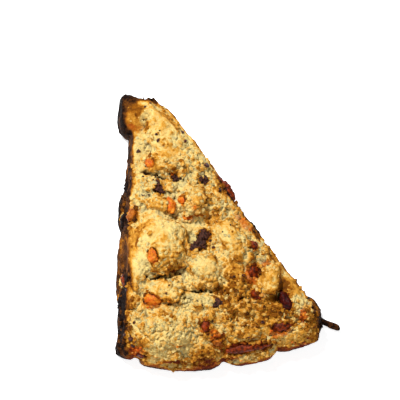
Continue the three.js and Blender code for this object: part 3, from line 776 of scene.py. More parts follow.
    tones: tuple[Tone, ...] = table(
        Tone.at,
        # Places all over the top a little darker or paler than the noise alone says, partly baking
        # and partly painted shade and painted light on the lumps' sides
        (-36.9, 46.2, 5.9, 5.9, 0.10), (-40.0, 28.9, 3.4, 9.2, 0.09), (-33.3, 28.5, 3.8, 3.4, 0.05),
        (-27.0, 23.0, 5.0, 4.2, 0.06), (-6.6, 16.0, 3.4, 4.2, 0.14), (-34.9, -7.7, 3.8, 3.8, 0.08),
        (-19.7, -13.2, 5.9, 4.2, 0.11), (-14.3, -19.6, 5.0, 4.2, 0.05),
        (-3.6, -22.9, 5.9, 5.0, 0.10), (6.9, -18.0, 4.2, 5.9, 0.09), (20.5, -24.4, 4.2, 7.6, 0.10),
        (1.0, -40.4, 10.9, 3.8, 0.12), (20.7, -37.9, 5.0, 4.2, 0.09), (35.5, -42.7, 3.4, 3.4, 0.14),
        (-2.4, -48.8, 5.9, 4.2, 0.10), (14.2, -45.3, 5.0, 3.4, 0.10),
        (-45.9, -40.8, 2.5, 10.1, 0.10), (-39.8, 1.1, 3.4, 3.4, 0.09),
        (-45.3, -10.1, 2.5, 8.4, -0.22), (-24.0, 1.2, 5.9, 3.4, -0.06),
        (-26.6, -28.1, 5.0, 3.4, -0.08), (-32.0, -53.0, 6.7, 3.4, -0.14),
        (-23.0, -46.5, 5.9, 3.8, -0.08), (-20.1, 8.7, 6.7, 3.8, 0.02),
        (-12.3, 28.9, 4.2, 5.0, -0.06), (-6.3, -4.4, 3.4, 2.9, -0.06),
        (-10.7, 22.9, 3.8, 3.4, -0.08), (-38.5, 44.0, 6.0, 9.0, -0.14),
        (-40.0, 30.0, 3.6, 8.0, -0.14), (-27.0, 39.0, 7.0, 5.0, -0.08),
        (-44.5, -53.0, 4.0, 4.0, 0.16), (-11.0, -53.0, 6.0, 3.4, 0.14),
        (-5.0, -38.0, 5.0, 3.0, 0.10), (-25.9, 0.9, 4.6, 2.5, -0.11), (-20.0, 7.5, 3.8, 2.5, -0.05),
        (-27.3, -47.5, 4.2, 2.9, -0.08), (-33.1, -48.4, 3.4, 2.9, -0.05),
        (-19.6, -19.0, 2.9, 2.1, -0.06), (-17.4, 14.8, 5.0, 2.9, -0.08),
        (-12.3, 28.9, 3.4, 3.4, -0.06), (-6.6, -6.0, 2.9, 2.9, -0.06),
        (-27.4, -25.9, 3.4, 2.5, -0.07), (-45.3, 2.8, 2.5, 2.9, 0.07), (-40.6, 1.2, 2.5, 2.5, 0.06),
        (35.6, -43.4, 2.9, 2.9, 0.10), (14.2, -45.0, 2.9, 2.9, 0.07), (0.4, -45.2, 3.4, 2.5, 0.05),
        (-13.3, 29.6, 4.2, 3.4, -0.10), (-39.5, 46.5, 3.5, 5.5, -0.14),
        (-40.3, 30.0, 3.5, 9.0, -0.10), (-22.5, -46.5, 5.0, 5.0, -0.12),
        (-24.0, 1.0, 6.0, 4.0, -0.12), (-23.5, -22.0, 5.0, 3.0, -0.12),
        (34.9, -37.5, 5.0, 5.0, 0.14), (-12.5, 21.9, 4.2, 3.4, -0.08),
        (-20.1, 13.7, 5.0, 3.4, -0.09), (-27.7, 0.8, 3.4, 2.5, -0.08),
        (-19.3, 1.1, 4.2, 3.4, -0.08), (-19.5, -6.1, 3.4, 2.5, -0.05),
        (-7.0, -5.1, 3.4, 3.4, -0.07), (7.1, -4.9, 3.4, 2.5, -0.06), (-27.1, -14.1, 2.9, 3.4, 0.13),
        (-33.9, -19.7, 3.4, 2.1, -0.08), (-19.5, -19.4, 3.4, 2.5, -0.08),
        (-1.8, -19.4, 4.2, 3.4, 0.05), (14.1, -18.4, 3.4, 3.4, -0.06),
        (-26.6, -27.2, 3.8, 2.9, -0.08), (-19.0, -26.0, 3.4, 2.9, -0.06),
        (-5.7, -25.9, 3.4, 3.4, 0.09), (20.6, -26.0, 2.9, 3.8, 0.09), (-6.6, -39.3, 3.8, 2.9, 0.09),
        (-32.4, -47.7, 4.2, 3.4, -0.07), (-19.3, -46.4, 5.0, 3.4, -0.08),
        (-32.0, -53.0, 5.0, 2.9, -0.12), (-4.0, -49.5, 4.2, 3.4, 0.08),
        (9.8, -50.6, 5.9, 2.1, 0.07), (-5.6, 16.2, 3.4, 3.4, 0.08), (-40.6, 1.2, 2.5, 2.5, 0.05),
        (13.0, -37.0, 8.0, 4.0, 0.08),
    )
    painted_shades: tuple[Tone, ...] = table(
        Tone.at,
        # Painted shade on the shoulder below the tip
        (-40.5, 31.5, 3.4, 9.5, 0.42), (-39.0, 46.5, 3.4, 5.5, 0.50),
        (-41.5, -17.5, 4.0, 5.0, 0.16), (-19.0, -31.0, 10.0, 3.0, 0.16),
        # Less painted shade, below zero, in the bright hollow right of the great lump and on the
        # lower left lump
        (-24.0, 2.0, 5.5, 4.5, -0.35), (-26.0, -49.0, 9.0, 6.0, -0.35),
        (-27.0, -21.0, 9.0, 3.5, -0.30), (32.0, -40.0, 5.0, 5.0, -0.2),
    )
    flakes: tuple[Patch, ...] = table(
        Patch.at,
        # Torn layers that show pale in the rim
        (PALE, 3.0, -54.5, 7.0, 1.3, 8, 0.8), (GOLD, 10.0, -53.5, 6.0, 2.2, 12, 0.8),
        (GOLD, 24.0, -48.5, 8.0, 1.8, 25, 0.7),
        # The dark edge of the tip
        (BURNT, -42.5, 56.7, 8.0, 1.3, -3, 0.9), (BURNT, -34.6, 54.2, 3.6, 1.1, -42, 0.9),
        (BURNT, -46.5, 41.0, 5.0, 2.0, -40, 0.9),
    )
    craggy: tuple[Oval, ...] = table(
        Oval,
        (-28.0, -45.5, 13.0, 8.0), (-20.0, -55.0, 12.0, 4.0), (8.0, -50.0, 16.0, 4.0, 12),
        (3.7, -36.8, 11.0, 9.0), (-10.3, -42.8, 7.0, 8.0), (29.7, -37.8, 7.0, 6.0),
        (-9.3, 7.2, 6.0, 9.0, 30), (-22.3, 26.2, 9.0, 9.0), (10.7, -10.8, 4.0, 9.0, 38),
        (-25.3, -20.3, 8.0, 3.0, 15),
    )
    smooth: tuple[Oval, ...] = table(
        Oval,
        (-32.3, -7.5, 10.5, 10.5), (-41.5, 36.0, 4.0, 8.0), (-42.5, -12.0, 3.5, 12.0),
        (-4.0, -3.0, 4.0, 6.0, 20), (-37.0, 23.0, 5.0, 4.0), (-27.0, 30.0, 6.0, 4.0),
        (-33.0, -28.0, 5.0, 4.0), (-13.3, -17.8, 4.5, 4.5, 30), (-23.8, 16.7, 3.5, 2.8),
        (-29.3, 44.2, 6.0, 9.0, 40), (23.7, -22.8, 3.0, 8.0, 38), (-43.3, 46.2, 5.0, 8.0),
    )
    swells: tuple[Swell, ...] = (
        # The square end of the tip
        Swell(Oval(-36.5, 53.0, 2.1, 4.2), (0.0, 3.0, 0.3)),
        Swell(Oval(-34.2, 52.6, 2.1, 3.6), (0.0, 1.2, 0.2)),
    )
    calm: tuple[Oval, ...] = table(
        Oval,
        (-42.5, 56.0, 14.0, 5.0), (-48.5, 47.0, 3.5, 12.0), (43.0, -37.5, 7.0, 3.0, -20),
    )
    melted: tuple[Oval, ...] = table(
        Oval,
        # Where the great lump runs into the bank above and left of it
        (-37.0, 2.5, 6.5, 4.0, 25), (-42.0, -9.0, 3.0, 8.0),
        # Where the cracked lump runs into its neighbours
        (-15.5, -12.5, 6.0, 3.5, 15), (-4.0, -15.5, 3.5, 5.0, 20), (-7.5, -5.0, 3.5, 6.5),
        (-19.5, -20.5, 3.0, 5.0, 30),
        # The lower left lump, towards the left bank and the rim
        (-39.5, -45.0, 4.0, 7.0), (-17.5, -44.0, 3.5, 6.0),
    )
    # The left wall, the right wall, the rim and the end of the tip
    wall_heading: tuple[float, ...] = (180.0, 36.5, -75.0, 100.0)
    # Their browning stands partly for baking and partly for painted shade on the steep sides.
    wall_baking_and_shade: tuple[float, ...] = (0.95, 0.92, 0.45, 1.08)
    wall_spread: float = 40.0
    right_way: tuple[float, float] = (0.80, 0.60)
    fruit: tuple[str, ...] = ()
    chocolate: tuple[str, ...] = ()

    def build(self) -> Piece:
        """Builds the dough's fine surface.

        Returns:
            The finished piece, without its material.
        """
        piece = copy_of_node("dough", "dough_crust")
        remesh = piece.modifiers.new("voxels", "REMESH")
        remesh.mode = "VOXEL"
        remesh.voxel_size = self.voxel * MM
        even = piece.modifiers.new("evening", "SMOOTH")
        even.factor = 0.5
        even.iterations = self.evening
        apply_modifiers(piece)
        edges = edges_of(piece)
        self.plump(piece, edges)
        crumbly = self.crumbliness(points_of(piece))
        split = self.roughen(piece, crumbly)
        store(piece, "crumbly", crumbly)
        self.record_baking(piece, edges, split)
        self.thin_foot(piece)
        self.spare_faces(piece)
        return piece

    def plump(self, piece: Piece, edges: np.ndarray) -> None:
        """Makes the lumps fuller, but not where they melted, and softens the dips between them.

        Args:
            piece: The refined dough.
            edges: The two vertices of each edge.
        """
        points = points_of(piece)
        ragged = Grain(5.0, 43.0).waves(points)
        for swell in self.swells:
            weight = swell.place.hill(points) * smoothstep(0.0, 3.0, points[:, 2])
            points = points + weight[:, None] * np.array(swell.push)
        broad = evened(points, edges, 260)
        melt = np.max([place.weight(points, ragged) for place in self.melted], axis=0)
        change = (self.fullness - (self.fullness + 0.75) * melt)[:, None] * (points - broad)
        fade = smoothstep(0.5, 5.0, points[:, 2])[:, None]
        change[:, :2] *= 0.3
        points = points + change.clip(-1.3, 1.3) * fade
        points[:, 2] = points[:, 2].clip(0.0)
        move_to(piece, points)
        normals = normals_of(piece)
        hollow = ((points - evened(points, edges, 40)) * normals).sum(1).clip(-1.6, 0.0)
        open_dough = smoothstep(0.7, 2.0, gap_to(points, self.fruit + self.chocolate))
        points = points - normals * (self.filled * hollow * open_dough)[:, None] * fade
        move_to(piece, points)

    def crumbliness(self, points: np.ndarray) -> np.ndarray:
        """Tells how crumbly the dough is at each point, from 0 to about 1.

        Args:
            points: Places on the dough, in millimetres.

        Returns:
            One value for each point.
        """
        ragged = Grain(3.0, 41.0).waves(points)
        crumbly = 0.45 + 0.50 * smoothstep(-0.35, 0.3, Grain(9.0, 23.0).waves(points))
        for place in self.craggy:
            crumbly += (1.15 - crumbly) * place.weight(points, ragged)
        for place in self.smooth:
            crumbly += (0.30 - crumbly) * place.weight(points, ragged)
        return crumbly

    def roughen(self, piece: Piece, crumbly: np.ndarray) -> np.ndarray:
        """Moves the surface into crags and crumb and opens the cracks.

        Args:
            piece: The plumped dough.
            crumbly: How crumbly the dough is at each vertex.

        Returns:
            How deep in a crack each vertex lies, from 0 to 1.
        """
        points, normals = points_of(piece), normals_of(piece)
        up = smoothstep(0.15, 0.7, normals[:, 2])
        free = smoothstep(0.2, 2.0, points[:, 2]) * smoothstep(-0.9, -0.3, normals[:, 2])
        stirred = Grain(2.6, 40.0).drift(points, 1.1)
        ragged = Grain(3.0, 41.0).waves(points)
        lift = (0.20 + 0.80 * crumbly) * 1.3 * (Grain(7.0, 3.0).billows(stirred) - 0.2)
        lift += crumbly * 1.3 * (Grain(4.6, 9.0).nodules(stirred) - 0.5)
        lift += (0.12 + 0.95 * crumbly) * 1.05 * (Grain(2.0, 5.0).nodules(stirred) - 0.45)
        lift += (0.22 + 0.45 * crumbly) * Grain(2.2, 15.0).billows(points)
        lips = np.exp(-((gap_to(points, self.fruit) / 1.2) ** 2))
        lift += 0.45 * lips * (0.6 + 1.2 * ragged) * up
        lift -= 0.7 * np.exp(-((gap_to(points, self.chocolate) / 0.9) ** 2)) * up
        torn = 0.9 * Grain(6.0, 60.0, flat=2.5).billows(stirred)
        rim = smoothstep(0.3, 0.8, -normals[:, 1])
        wall = 1.0 - up
        lift = free * (lift * (1.0 - wall * (0.75 - 0.6 * rim)) + (0.30 + 0.2 * rim) * torn * wall)
        low_rim = rim * (1.0 - smoothstep(4.0, 10.0, points[:, 2]))
        calm = np.max([place.weight(points, 0.3 * ragged) for place in self.calm], axis=0)
        lift *= 1.0 - 0.8 * np.maximum(calm, low_rim)
        right = normals[:, :2] @ np.array(self.right_way)
        lift += free * (0.75 * rim - 0.55 * smoothstep(0.25, 0.8, right))
        split = np.zeros(len(points))
        for valley in self.valleys:
            gap, along = valley.distance(Grain(3.0, 35.0).drift(points, 1.6))
            taper = np.sqrt(np.clip(4.0 * along * (1.0 - along), 0.03, 1.0))
            lift -= valley.depth * taper * np.exp(-((gap / valley.width) ** 2)) * up
        for crack in self.cracks:
            gap, along = crack.distance(Grain(1.8, 31.0).drift(points, 0.9))
            taper = np.sqrt(np.clip(4.0 * along * (1.0 - along), 0.03, 1.0))
            cut = np.exp(-((gap / (crack.width * (0.45 + 0.55 * taper))) ** 2)) * up
            lip = np.exp(-(((gap - 2.0 * crack.width) / crack.width) ** 2)) * up
            lift = lift * (1.0 - 0.7 * cut) + taper * (0.35 * lip - crack.depth * cut)
            split = np.maximum(split, cut * taper)
        points = points + normals * lift[:, None]
        points[:, 2] = points[:, 2].clip(0.0)
        points[:, 2] -= 0.5 * (points[:, 2] - self.highest).clip(0.0)
        move_to(piece, points)
        return split

    def record_baking(self, piece: Piece, edges: np.ndarray, split: np.ndarray) -> None:
        """Stores for each vertex how brown and how stained it is, and how much painted shade it
        gets.

        Args:
            piece: The sculpted dough.
            edges: The two vertices of each edge.
            split: How deep in a crack each vertex lies, from 0 to 1.
        """
        points, normals = points_of(piece), normals_of(piece)
        bulge = ((points - evened(points, edges, 10)) * normals).sum(1)
        mound = ((points - evened(points, edges, 90)) * normals).sum(1)
        facing = evened(normals, edges, 60)
        facing /= np.linalg.norm(facing, axis=1)[:, None].clip(1e-6)
        outer = evened(normals, edges, 14)
        outer /= np.linalg.norm(outer, axis=1)[:, None].clip(1e-6)
        ragged = Grain(2.6, 51.0).waves(points)
        broad = Grain(12.0, 71.0).waves(points)

        browning = 0.27 + 0.20 * broad + 0.14 * Grain(4.5, 73.0).waves(points)
        browning += 0.42 * bulge.clip(-0.35, 0.35) + 0.24 * mound.clip(-0.8, 1.0)
        russet = np.zeros(len(points))
        for patch in self.patches:
            weight = patch.strength * patch.place.weight(points, ragged)
            if patch.baking is RUSSET:
                russet = np.maximum(russet, weight)
            else:
                browning += (patch.baking.value - browning) * weight * 0.85
        heading = np.degrees(np.arctan2(facing[:, 1], facing[:, 0]))
        nearness = []
        for middle in self.wall_heading:
            apart = (heading - middle + 180.0) % 360.0 - 180.0
            nearness.append(np.exp(-((apart / self.wall_spread) ** 2)))
        nearness = np.array(nearness)
        rim = nearness[2]
        side = 1.0 - smoothstep(0.25, 0.72, facing[:, 2] - 0.07 * (nearness[0] + nearness[1]))
        # The walls are painted brown to black, partly for their baking and partly as painted shade
        # on the steep sides, and more so on the steep rim and at the tip.
        wall = (np.array(self.wall_baking_and_shade) @ nearness) / nearness.sum(0).clip(1e-6)
        wall += 0.16 * ragged + 0.22 * Grain(7.0, 81.0).waves(points)
        steep = 1.0 - smoothstep(0.20, 0.66, outer[:, 2] + 0.08 * ragged)
        wall += 0.50 * steep * rim + 0.15 * smoothstep(38.0, 46.0, points[:, 1])
        wall -= 0.30 * nearness[1] * smoothstep(10.0, 25.0, points[:, 1])
        foot = 1.0 - smoothstep(1.0 + 0.8 * rim, 4.4 + rim, points[:, 2] + 0.8 * ragged)
        browning += (wall - browning) * side * 0.95
        browning += (1.0 - browning) * foot * 0.9
        russet = np.maximum(russet, rim * side * (0.45 + 0.42 * steep))
        stain = np.exp(-((gap_to(points, self.fruit) / 0.8) ** 2)) * (0.8 + 0.5 * ragged)
        russet = np.maximum(russet, stain) * (1.0 - 0.9 * foot)
        browning += 0.10 * stain
        for tone in self.tones:
            toned = browning + tone.change * tone.place.hill(points)
            browning = np.maximum(toned, np.minimum(browning, CREAM.value))
        for flake in self.flakes:
            weight = flake.strength * flake.place.weight(points, 1.4 * ragged) * (1.0 - foot)
            if flake.baking is not BURNT:
                weight *= 1.0 - 0.85 * steep
            browning += (flake.baking.value - browning) * weight
            russet *= 1.0 - weight
        # Painted shade in the dips and the cracks, and in the places listed for painted shade.
        painted_shade = (-2.4 * (bulge + 0.08) - 0.30 * (mound + 0.1)).clip(0.0, 1.0)
        painted_shade = np.maximum(0.85 * painted_shade, split * 1.5)
        for tone in self.painted_shades:
            painted_shade += tone.change * tone.place.hill(points)
        store(piece, "browning", browning)
        store(piece, "russet", russet)
        store(piece, "painted_shade", painted_shade.clip(0.0, 1.5))

    def thin_foot(self, piece: Piece) -> None:
        """Gives the flat underside fewer faces.

        Args:
            piece: The sculpted dough.
        """
        points = points_of(piece)
        under = (points[:, 2] < 0.02).astype(float)
        inner = evened(under, edges_of(piece), 8) > 0.995
        group = piece.vertex_groups.new(name="underside")
        group.add([int(i) for i in np.flatnonzero(inner)], 1.0, "REPLACE")
        thin = piece.modifiers.new("thinning", "DECIMATE")
        thin.ratio = float(1.0 - inner.mean() * 0.93)
        thin.vertex_group = group.name
        thin.vertex_group_factor = 1000.0
        apply_modifiers(piece)
        piece.vertex_groups.clear()

    def spare_faces(self, piece: Piece) -> None:
        """Takes out the faces that the form can spare, down to the most that a piece may have.

        Args:
            piece: The sculpted dough.
        """
        piece.data.calc_loop_triangles()
        sparing = piece.modifiers.new("sparing", "DECIMATE")
        sparing.ratio = min(1.0, self.most_triangles / len(piece.data.loop_triangles))
        apply_modifiers(piece)


@dataclass(frozen=True)
class BakedIn:
    """One baked-in piece: its node, what it is and how far it swells, in millimetres."""

    node: str
    finish: Fruit
    swelling: float = 0.30


@dataclass
class Fillings:
    """The chocolate chunks and pieces of dried fruit, each refined from its own solid."""

    fruit: tuple[BakedIn, ...] = (
        BakedIn("apricot_tip", Fruit.BRIGHT),
        BakedIn("apricot_ledge", Fruit.BRIGHT),
        BakedIn("apricot_round", Fruit.BRIGHT),
        BakedIn("apricot_under_gold", Fruit.BRIGHT),
        BakedIn("apricot_great", Fruit.BRIGHT),
        BakedIn("apricot_left", Fruit.GOLDEN),
        BakedIn("apricot_crumbled", Fruit.BRIGHT),
        BakedIn("apricot_right_small", Fruit.RED),
        BakedIn("apricot_right", Fruit.RED),
        BakedIn("apricot_right_low", Fruit.RED),
        BakedIn("apricot_corner", Fruit.RED),
        BakedIn("apricot_middle", Fruit.RED),
        BakedIn("apricot_middle_low", Fruit.GOLDEN),
        BakedIn("apricot_rim", Fruit.RED, -0.10),
        BakedIn("apricot_rim_left", Fruit.RED),
        BakedIn("apricot_side_right", Fruit.RED),
        BakedIn("apricot_side_left", Fruit.RED),
        BakedIn("cherry_right", Fruit.DARK),
    )
    chocolate: tuple[str, ...] = (
        "chocolate_long",
        "chocolate_upper",
        "chocolate_right",
        "chocolate_great_upper",
        "chocolate_great_lower",
        "chocolate_shelf",
        "chocolate_side_upper",
        "chocolate_side_middle",
        "chocolate_side_low",
    )
    melting: float = 0.50
    wrinkle: float = 0.32
    wrinkle_spacing: float = 2.1
    chip: float = 0.7
    side_chip: float = 0.28
    chip_spacing: float = 1.4

    def skin(self, node: str, swelling: float, relief: float, size: float) -> Piece:
        """Refines one piece's solid, fills its pocket and roughens it.

        Args:
            node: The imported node's name.
            swelling: How far it swells, in millimetres.
            relief: How deep the roughness is, in millimetres.
            size: How far apart its bumps are, in millimetres.

        Returns:
            The refined piece.
        """
        piece = copy_of_node(node, "baked_" + node)
        fine = piece.modifiers.new("fine", "SUBSURF")
        fine.levels = fine.render_levels = 2
        apply_modifiers(piece)
        points, normals = points_of(piece), normals_of(piece)
        seed = float(sum(map(ord, node)) % 97)
        folds = 1.6 * Grain(size, seed).billows(points)
        lift = swelling + relief * (folds - 0.2)
        move_to(piece, points + normals * lift[:, None])
        # The hollows of the folds carry painted shade.
        store(piece, "painted_shade", (0.5 - folds).clip(0.0, 1.0))
        take(piece)
        bpy.ops.object.shade_smooth()
        return piece

    def build(self) -> list[Piece]:
        """Builds and dresses every baked-in piece."""
        made = []
        fruit_materials = {tone: tone.value.make() for tone in Fruit}
        for item in self.fruit:
            piece = self.skin(item.node, item.swelling, self.wrinkle, self.wrinkle_spacing)
            piece.data.materials.append(fruit_materials[item.finish])
            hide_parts(item.node)
            made.append(piece)
        tones = {tone: tone.value.make() for tone in Chocolate}
        for node in self.chocolate:
            at_side = node.startswith("chocolate_side")
            chip = self.side_chip if at_side else self.chip
            piece = self.skin(node, self.melting, chip, self.chip_spacing)
            # Pieces in the walls take the copy with painted shade.
            tone = Chocolate.SIDE if at_side else Chocolate.TOP
            piece.data.materials.append(tones[tone])
            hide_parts(node)
            made.append(piece)
        return made


@dataclass
class Scatter:
    """Places small angular grains on the dough and joins them into one piece."""

    name: str
    seed: int
    shapes: int = 5
    jitter: float = 0.35

    def models(self) -> tuple[list[np.ndarray], np.ndarray]:
        """Models a few grains.

        Returns:
            The vertices of each grain, and the faces that they share.
        """
        deselect_all()
        bpy.ops.mesh.primitive_ico_sphere_add(subdivisions=1, radius=MM)
        ball = bpy.context.object
        points = points_of(ball)
        faces = np.array([list(polygon.vertices) for polygon in ball.data.polygons])
        bpy.data.objects.remove(ball)
        draw = random.Random(self.seed)
        made = []
        for _ in range(self.shapes):
            reach = [1.0 + draw.uniform(-self.jitter, self.jitter) for _ in points]
            made.append(points * np.array(reach)[:, None])
        return made, faces

    def join(
        self, places: np.ndarray, outward: np.ndarray, sizes: np.ndarray, sink: float
    ) -> tuple[Piece, np.ndarray, np.ndarray]:
        """Puts one grain at each place.

        Args:
            places: Where the grains lie, in millimetres.
            outward: The surface's direction at each place.
            sizes: The half length of each grain, in millimetres.
            sink: How deep a grain's middle lies, in parts of its half length.

        Returns:
            The piece, and for each of its vertices the number of its grain and its height over
            the surface, from -1 to 1.
        """
        models, faces = self.models()
        draw = random.Random(self.seed + 1)
        all_points, all_faces, heights = [], [], []
        for number, (place, normal, size) in enumerate(zip(places, outward, sizes)):
            shape = models[number % len(models)]
            stretch = np.array([draw.uniform(1.0, 1.5), 1.0, draw.uniform(0.65, 0.9)])
            tilt = Vector(normal).to_track_quat("Z", "Y").to_matrix()
            spin = Matrix.Rotation(draw.uniform(0.0, math.tau), 3, "Z")
            lean = Matrix.Rotation(draw.uniform(-0.5, 0.5), 3, "X")
            body = (shape * stretch * size) @ np.array(tilt @ lean @ spin).T
            all_points.append(body + place - normal * size * sink)
            all_faces.append(faces + len(shape) * number)
            heights.append((body @ normal) / size)
        mesh = bpy.data.meshes.new(self.name)
        mesh.from_pydata(
            (np.concatenate(all_points) * MM).tolist(), [], np.concatenate(all_faces).tolist()
        )
        piece = bpy.data.objects.new(self.name, mesh)
        bpy.context.scene.collection.objects.link(piece)
        owner = np.repeat(np.arange(len(places)), len(models[0]))
        return piece, owner, np.concatenate(heights).clip(-1.0, 1.0)


def values_of(piece: Piece, name: str) -> np.ndarray:
    """Gives a piece's stored numbers, one for each vertex."""
    values = np.empty(len(piece.data.vertices), np.float32)
    piece.data.attributes[name].data.foreach_get("value", values)
    return values


@dataclass
class Crumbs:
    """The loose-looking crumb on the crust, and the small bits of filling in it."""

    count: int = 6600
    smallest: float = 0.30
    largest: float = 1.05
    shreds: int = 70
    shred_sizes: tuple[float, float] = (0.3, 0.95)
    crumb_seed: int = 11
    shred_seed: int = 17
    shape_seeds: tuple[int, int, int] = (21, 33, 45)
    specks: tuple[Triple, ...] = (
        (-34.2, 37.9, 0.7), (-33.8, 35.7, 0.8), (-32.1, 39.6, 0.4), (-21.6, 41.3, 0.9),
        (-21.2, 35.5, 0.9), (-41.1, 31.3, 0.8), (-12.4, 25.9, 1.2), (-38.8, 20.3, 0.5),
        (-38.7, 12.6, 0.8), (-21.1, 11.4, 0.5), (-9.5, -8.4, 0.8), (-2.6, 0.4, 0.5),
        (-6.8, -2.7, 0.4), (2.2, -20.3, 0.8), (-28.4, -25.5, 0.5), (-10.3, -40.1, 0.5),
        (-42.1, -40.5, 0.7), (-46.1, -44.5, 0.6), (-46.6, -45.6, 0.6), (-44.2, -45.9, 0.9),
        (-42.9, -47.5, 1.1), (-41.6, -48.8, 0.8), (-42.9, -50.0, 0.9), (30.2, -31.8, 0.8),
        (-46.1, 0.0, 0.6), (5.3, -46.5, 0.5), (-16.8, -31.4, 0.5), (-14.3, -33.5, 0.5),
        (-38.4, 51.3, 0.8), (-36.3, 53.1, 0.7), (-11.2, -5.8, 0.6), (-23.9, -20.3, 0.8),
        (-29.8, -29.6, 0.5), (-45.8, -27.5, 0.7), (34.6, -34.0, 0.5), (-0.9, -21.8, 0.6),
        (-44.1, 19.7, 0.8), (-36.6, 13.1, 0.4), (-6.2, 16.1, 0.9), (-9.4, 17.8, 0.7),
        (11.5, -39.7, 0.7), (8.0, -31.4, 0.6), (-24.8, -17.1, 0.4), (13.7, -15.6, 0.4),
        (-34.3, 19.9, 1.2), (-33.6, 18.1, 1.4), (-34.5, 18.8, 0.9),
    )

    def crumb(self, dough: Piece, filling: tuple[str, ...]) -> Piece:
        """Scatters crumbs of dough, which take on the colour of the place they lie on.

        Args:
            dough: The finished dough.
            filling: The baked-in pieces' nodes; crumbs gather along their rims.

        Returns:
            The crumbs as one piece.
        """
        draw = random.Random(self.crumb_seed)
        points, normals = points_of(dough), normals_of(dough)
        cluster = Grain(3.5, 91.0).waves(points)
        weight = (0.2 + 0.8 * normals[:, 2].clip(0, 1)) * (0.5 + cluster).clip(0.02)
        weight *= 0.1 + 1.2 * values_of(dough, "crumbly") ** 2
        weight *= 1.0 + 14.0 * np.exp(-(((gap_to(points, filling) - 0.6) / 0.45) ** 2))
        calm = np.max([place.hill(points) for place in Dough.calm], axis=0)
        weight *= (points[:, 2] > 3.0) & (normals[:, 2] > 0.45) & (calm < 0.4)
        chosen = draw.choices(range(len(points)), weights=weight.tolist(), k=self.count)
        spread = np.array([draw.random() for _ in chosen])
        sizes = self.smallest + (self.largest - self.smallest) * spread**2.0
        scatter = Scatter("crumbs", self.shape_seeds[0])
        piece, owner, height = scatter.join(points[chosen], normals[chosen], sizes, 0.05)
        # Crumbs are mostly paler than the place they lie on, partly as crumb and partly as painted
        # highlight.
        tone = np.array([draw.uniform(-0.30, 0.12) for _ in chosen])
        place = np.array(chosen)[owner]
        browning = values_of(dough, "browning")[place] + tone[owner] + 0.10 * height
        store(piece, "browning", browning)
        store(piece, "russet", values_of(dough, "russet")[place])
        # Painted shade on the lower side of each crumb.
        store(piece, "painted_shade", 0.40 - 0.40 * height)
        store(piece, "crumbly", np.full(len(place), 0.8))
        return piece

    def speck(self, dough: Piece) -> Piece:
        """Puts the small bits of chocolate where the scone has them."""
        points, normals = points_of(dough), normals_of(dough)
        found = []
        for x, y, _ in self.specks:
            near = np.hypot(points[:, 0] - x, points[:, 1] - y) < 0.6
            found.append(int(np.flatnonzero(near)[np.argmax(points[near, 2])]))
        sizes = np.array([size for _, _, size in self.specks])
        scatter = Scatter("chocolate_specks", self.shape_seeds[1])
        piece, _, _ = scatter.join(points[found], normals[found], sizes, 0.25)
        return piece

    def shred(self, dough: Piece) -> Piece:
        """Scatters shreds of apricot over the stained places."""
        draw = random.Random(self.shred_seed)
        points, normals = points_of(dough), normals_of(dough)
        weight = values_of(dough, "russet") ** 2 * (points[:, 2] > 8.0) * (normals[:, 2] > 0.3)
        chosen = draw.choices(range(len(points)), weights=weight.tolist(), k=self.shreds)
        sizes = np.array([draw.uniform(*self.shred_sizes) for _ in chosen])
        scatter = Scatter("apricot_shreds", self.shape_seeds[2])
        piece, _, height = scatter.join(points[chosen], normals[chosen], sizes, 0.15)
        # Painted shade on the lower side of each shred.
        store(piece, "painted_shade", 0.3 - 0.3 * height)
        return piece


# The photographer's table


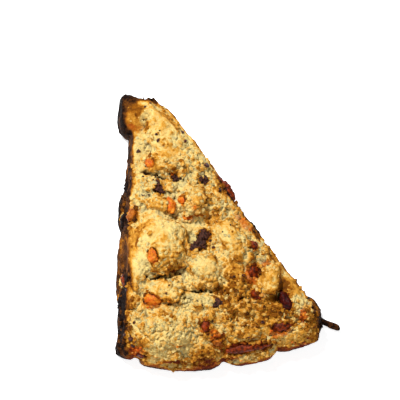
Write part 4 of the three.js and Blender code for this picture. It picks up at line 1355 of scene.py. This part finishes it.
@dataclass
class Studio:
    """The floor, the lights and the camera."""

    toward_camera: Triple = (-0.15, -0.2, 1.0)
    centre: tuple[float, float] = (-12.05, 15.10)
    height: float = 15.0
    view_width: float = 168.0
    distance: float = 800.0
    sensor: float = 36.0
    table_glow: float = 0.72
    key_power: float = 11.8
    fill_power: float = 2.3
    surround: float = 0.13

    def camera(self) -> None:
        """Places the camera nearly straight above, with the tip of the wedge up in the picture."""
        back = Vector(self.toward_camera).normalized()
        right = Vector((0.0, 1.0, 0.0)).cross(back).normalized()
        up = back.cross(right)
        flat = right * self.centre[0] + up * self.centre[1]
        target = flat + back * ((self.height - flat.z) / back.z)
        data = bpy.data.cameras.new("camera")
        data.sensor_width = self.sensor
        data.lens = self.sensor * self.distance / self.view_width
        data.clip_start = 0.01
        camera = bpy.data.objects.new("camera", data)
        camera.matrix_world = Matrix.Translation((target + back * self.distance) * MM) @ Matrix(
            (right, up, back)
        ).transposed().to_4x4()
        bpy.context.scene.collection.objects.link(camera)
        bpy.context.scene.camera = camera

    def floor(self) -> None:
        """Lays the pale table that the scone stands on."""
        deselect_all()
        bpy.ops.mesh.primitive_plane_add(size=3.0, location=(0.0, 0.0, -0.0001))
        table = bpy.context.object
        table.name = "table"
        nodes, shader = new_material("table_white")
        shader.inputs["Base Color"].default_value = (0.93, 0.93, 0.93, 1.0)
        shader.inputs["Roughness"].default_value = 0.9
        shader.inputs["Emission Color"].default_value = (1.0, 1.0, 1.0, 1.0)
        shader.inputs["Emission Strength"].default_value = self.table_glow
        table.data.materials.append(nodes.material)

    def lamp(self, name: str, place: Triple, size: float, power: float) -> None:
        """Hangs a square soft light that points at the scone.

        Args:
            name: The light's name.
            place: Where it hangs, in metres.
            size: Its side, in metres.
            power: Its power, in watts.
        """
        data = bpy.data.lights.new(name, "AREA")
        data.size = size
        data.energy = power
        lamp = bpy.data.objects.new(name, data)
        lamp.location = place
        aim = Vector((0.0, 0.0, 0.01)) - Vector(place)
        lamp.rotation_euler = aim.to_track_quat("-Z", "Y").to_euler()
        bpy.context.scene.collection.objects.link(lamp)

    def lights(self) -> None:
        """Lights the scone from beyond its tip and from the left, with a fill from all round."""
        self.lamp("key", (-0.41, 0.38, 0.83), 0.12, self.key_power)
        self.lamp("fill", (0.12, -0.72, 0.68), 0.5, self.fill_power)
        world = bpy.data.worlds.new("surround")
        world.use_nodes = True
        background = world.node_tree.nodes["Background"]
        background.inputs["Color"].default_value = (1.0, 1.0, 1.0, 1.0)
        background.inputs["Strength"].default_value = self.surround
        bpy.context.scene.world = world
        bpy.context.scene.view_settings.view_transform = "Standard"


def main() -> None:
    """Builds the scone and its studio, piece by piece."""
    noise.seed_set(DRIFT_SEED)
    studio = Studio()
    studio.camera()
    studio.floor()
    studio.lights()
    log.info("studio set")

    crust = CrustFinish().make()
    fillings = Fillings()
    fruit = tuple(item.node for item in fillings.fruit)
    dough = Dough(fruit=fruit, chocolate=fillings.chocolate).build()
    dough.data.materials.append(crust)
    take(dough)
    bpy.ops.object.shade_smooth()
    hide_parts("dough")
    pieces = [dough]

    pieces += fillings.build()

    crumbs = Crumbs()
    for piece, material, slot in (
        (crumbs.crumb(dough, fruit + fillings.chocolate), crust, "dough"),
        (crumbs.speck(dough), bpy.data.materials["chocolate_top"], "chocolate"),
        (crumbs.shred(dough), bpy.data.materials["apricot_bright"], "apricot"),
    ):
        piece.data.materials.append(material)
        pieces.append(piece)
    for piece in pieces:
        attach(piece, "root")
        triangles = sum(len(polygon.vertices) - 2 for polygon in piece.data.polygons)
        log.info("%s: %d triangles", piece.name, triangles)


if __name__ == "__main__":
    main()
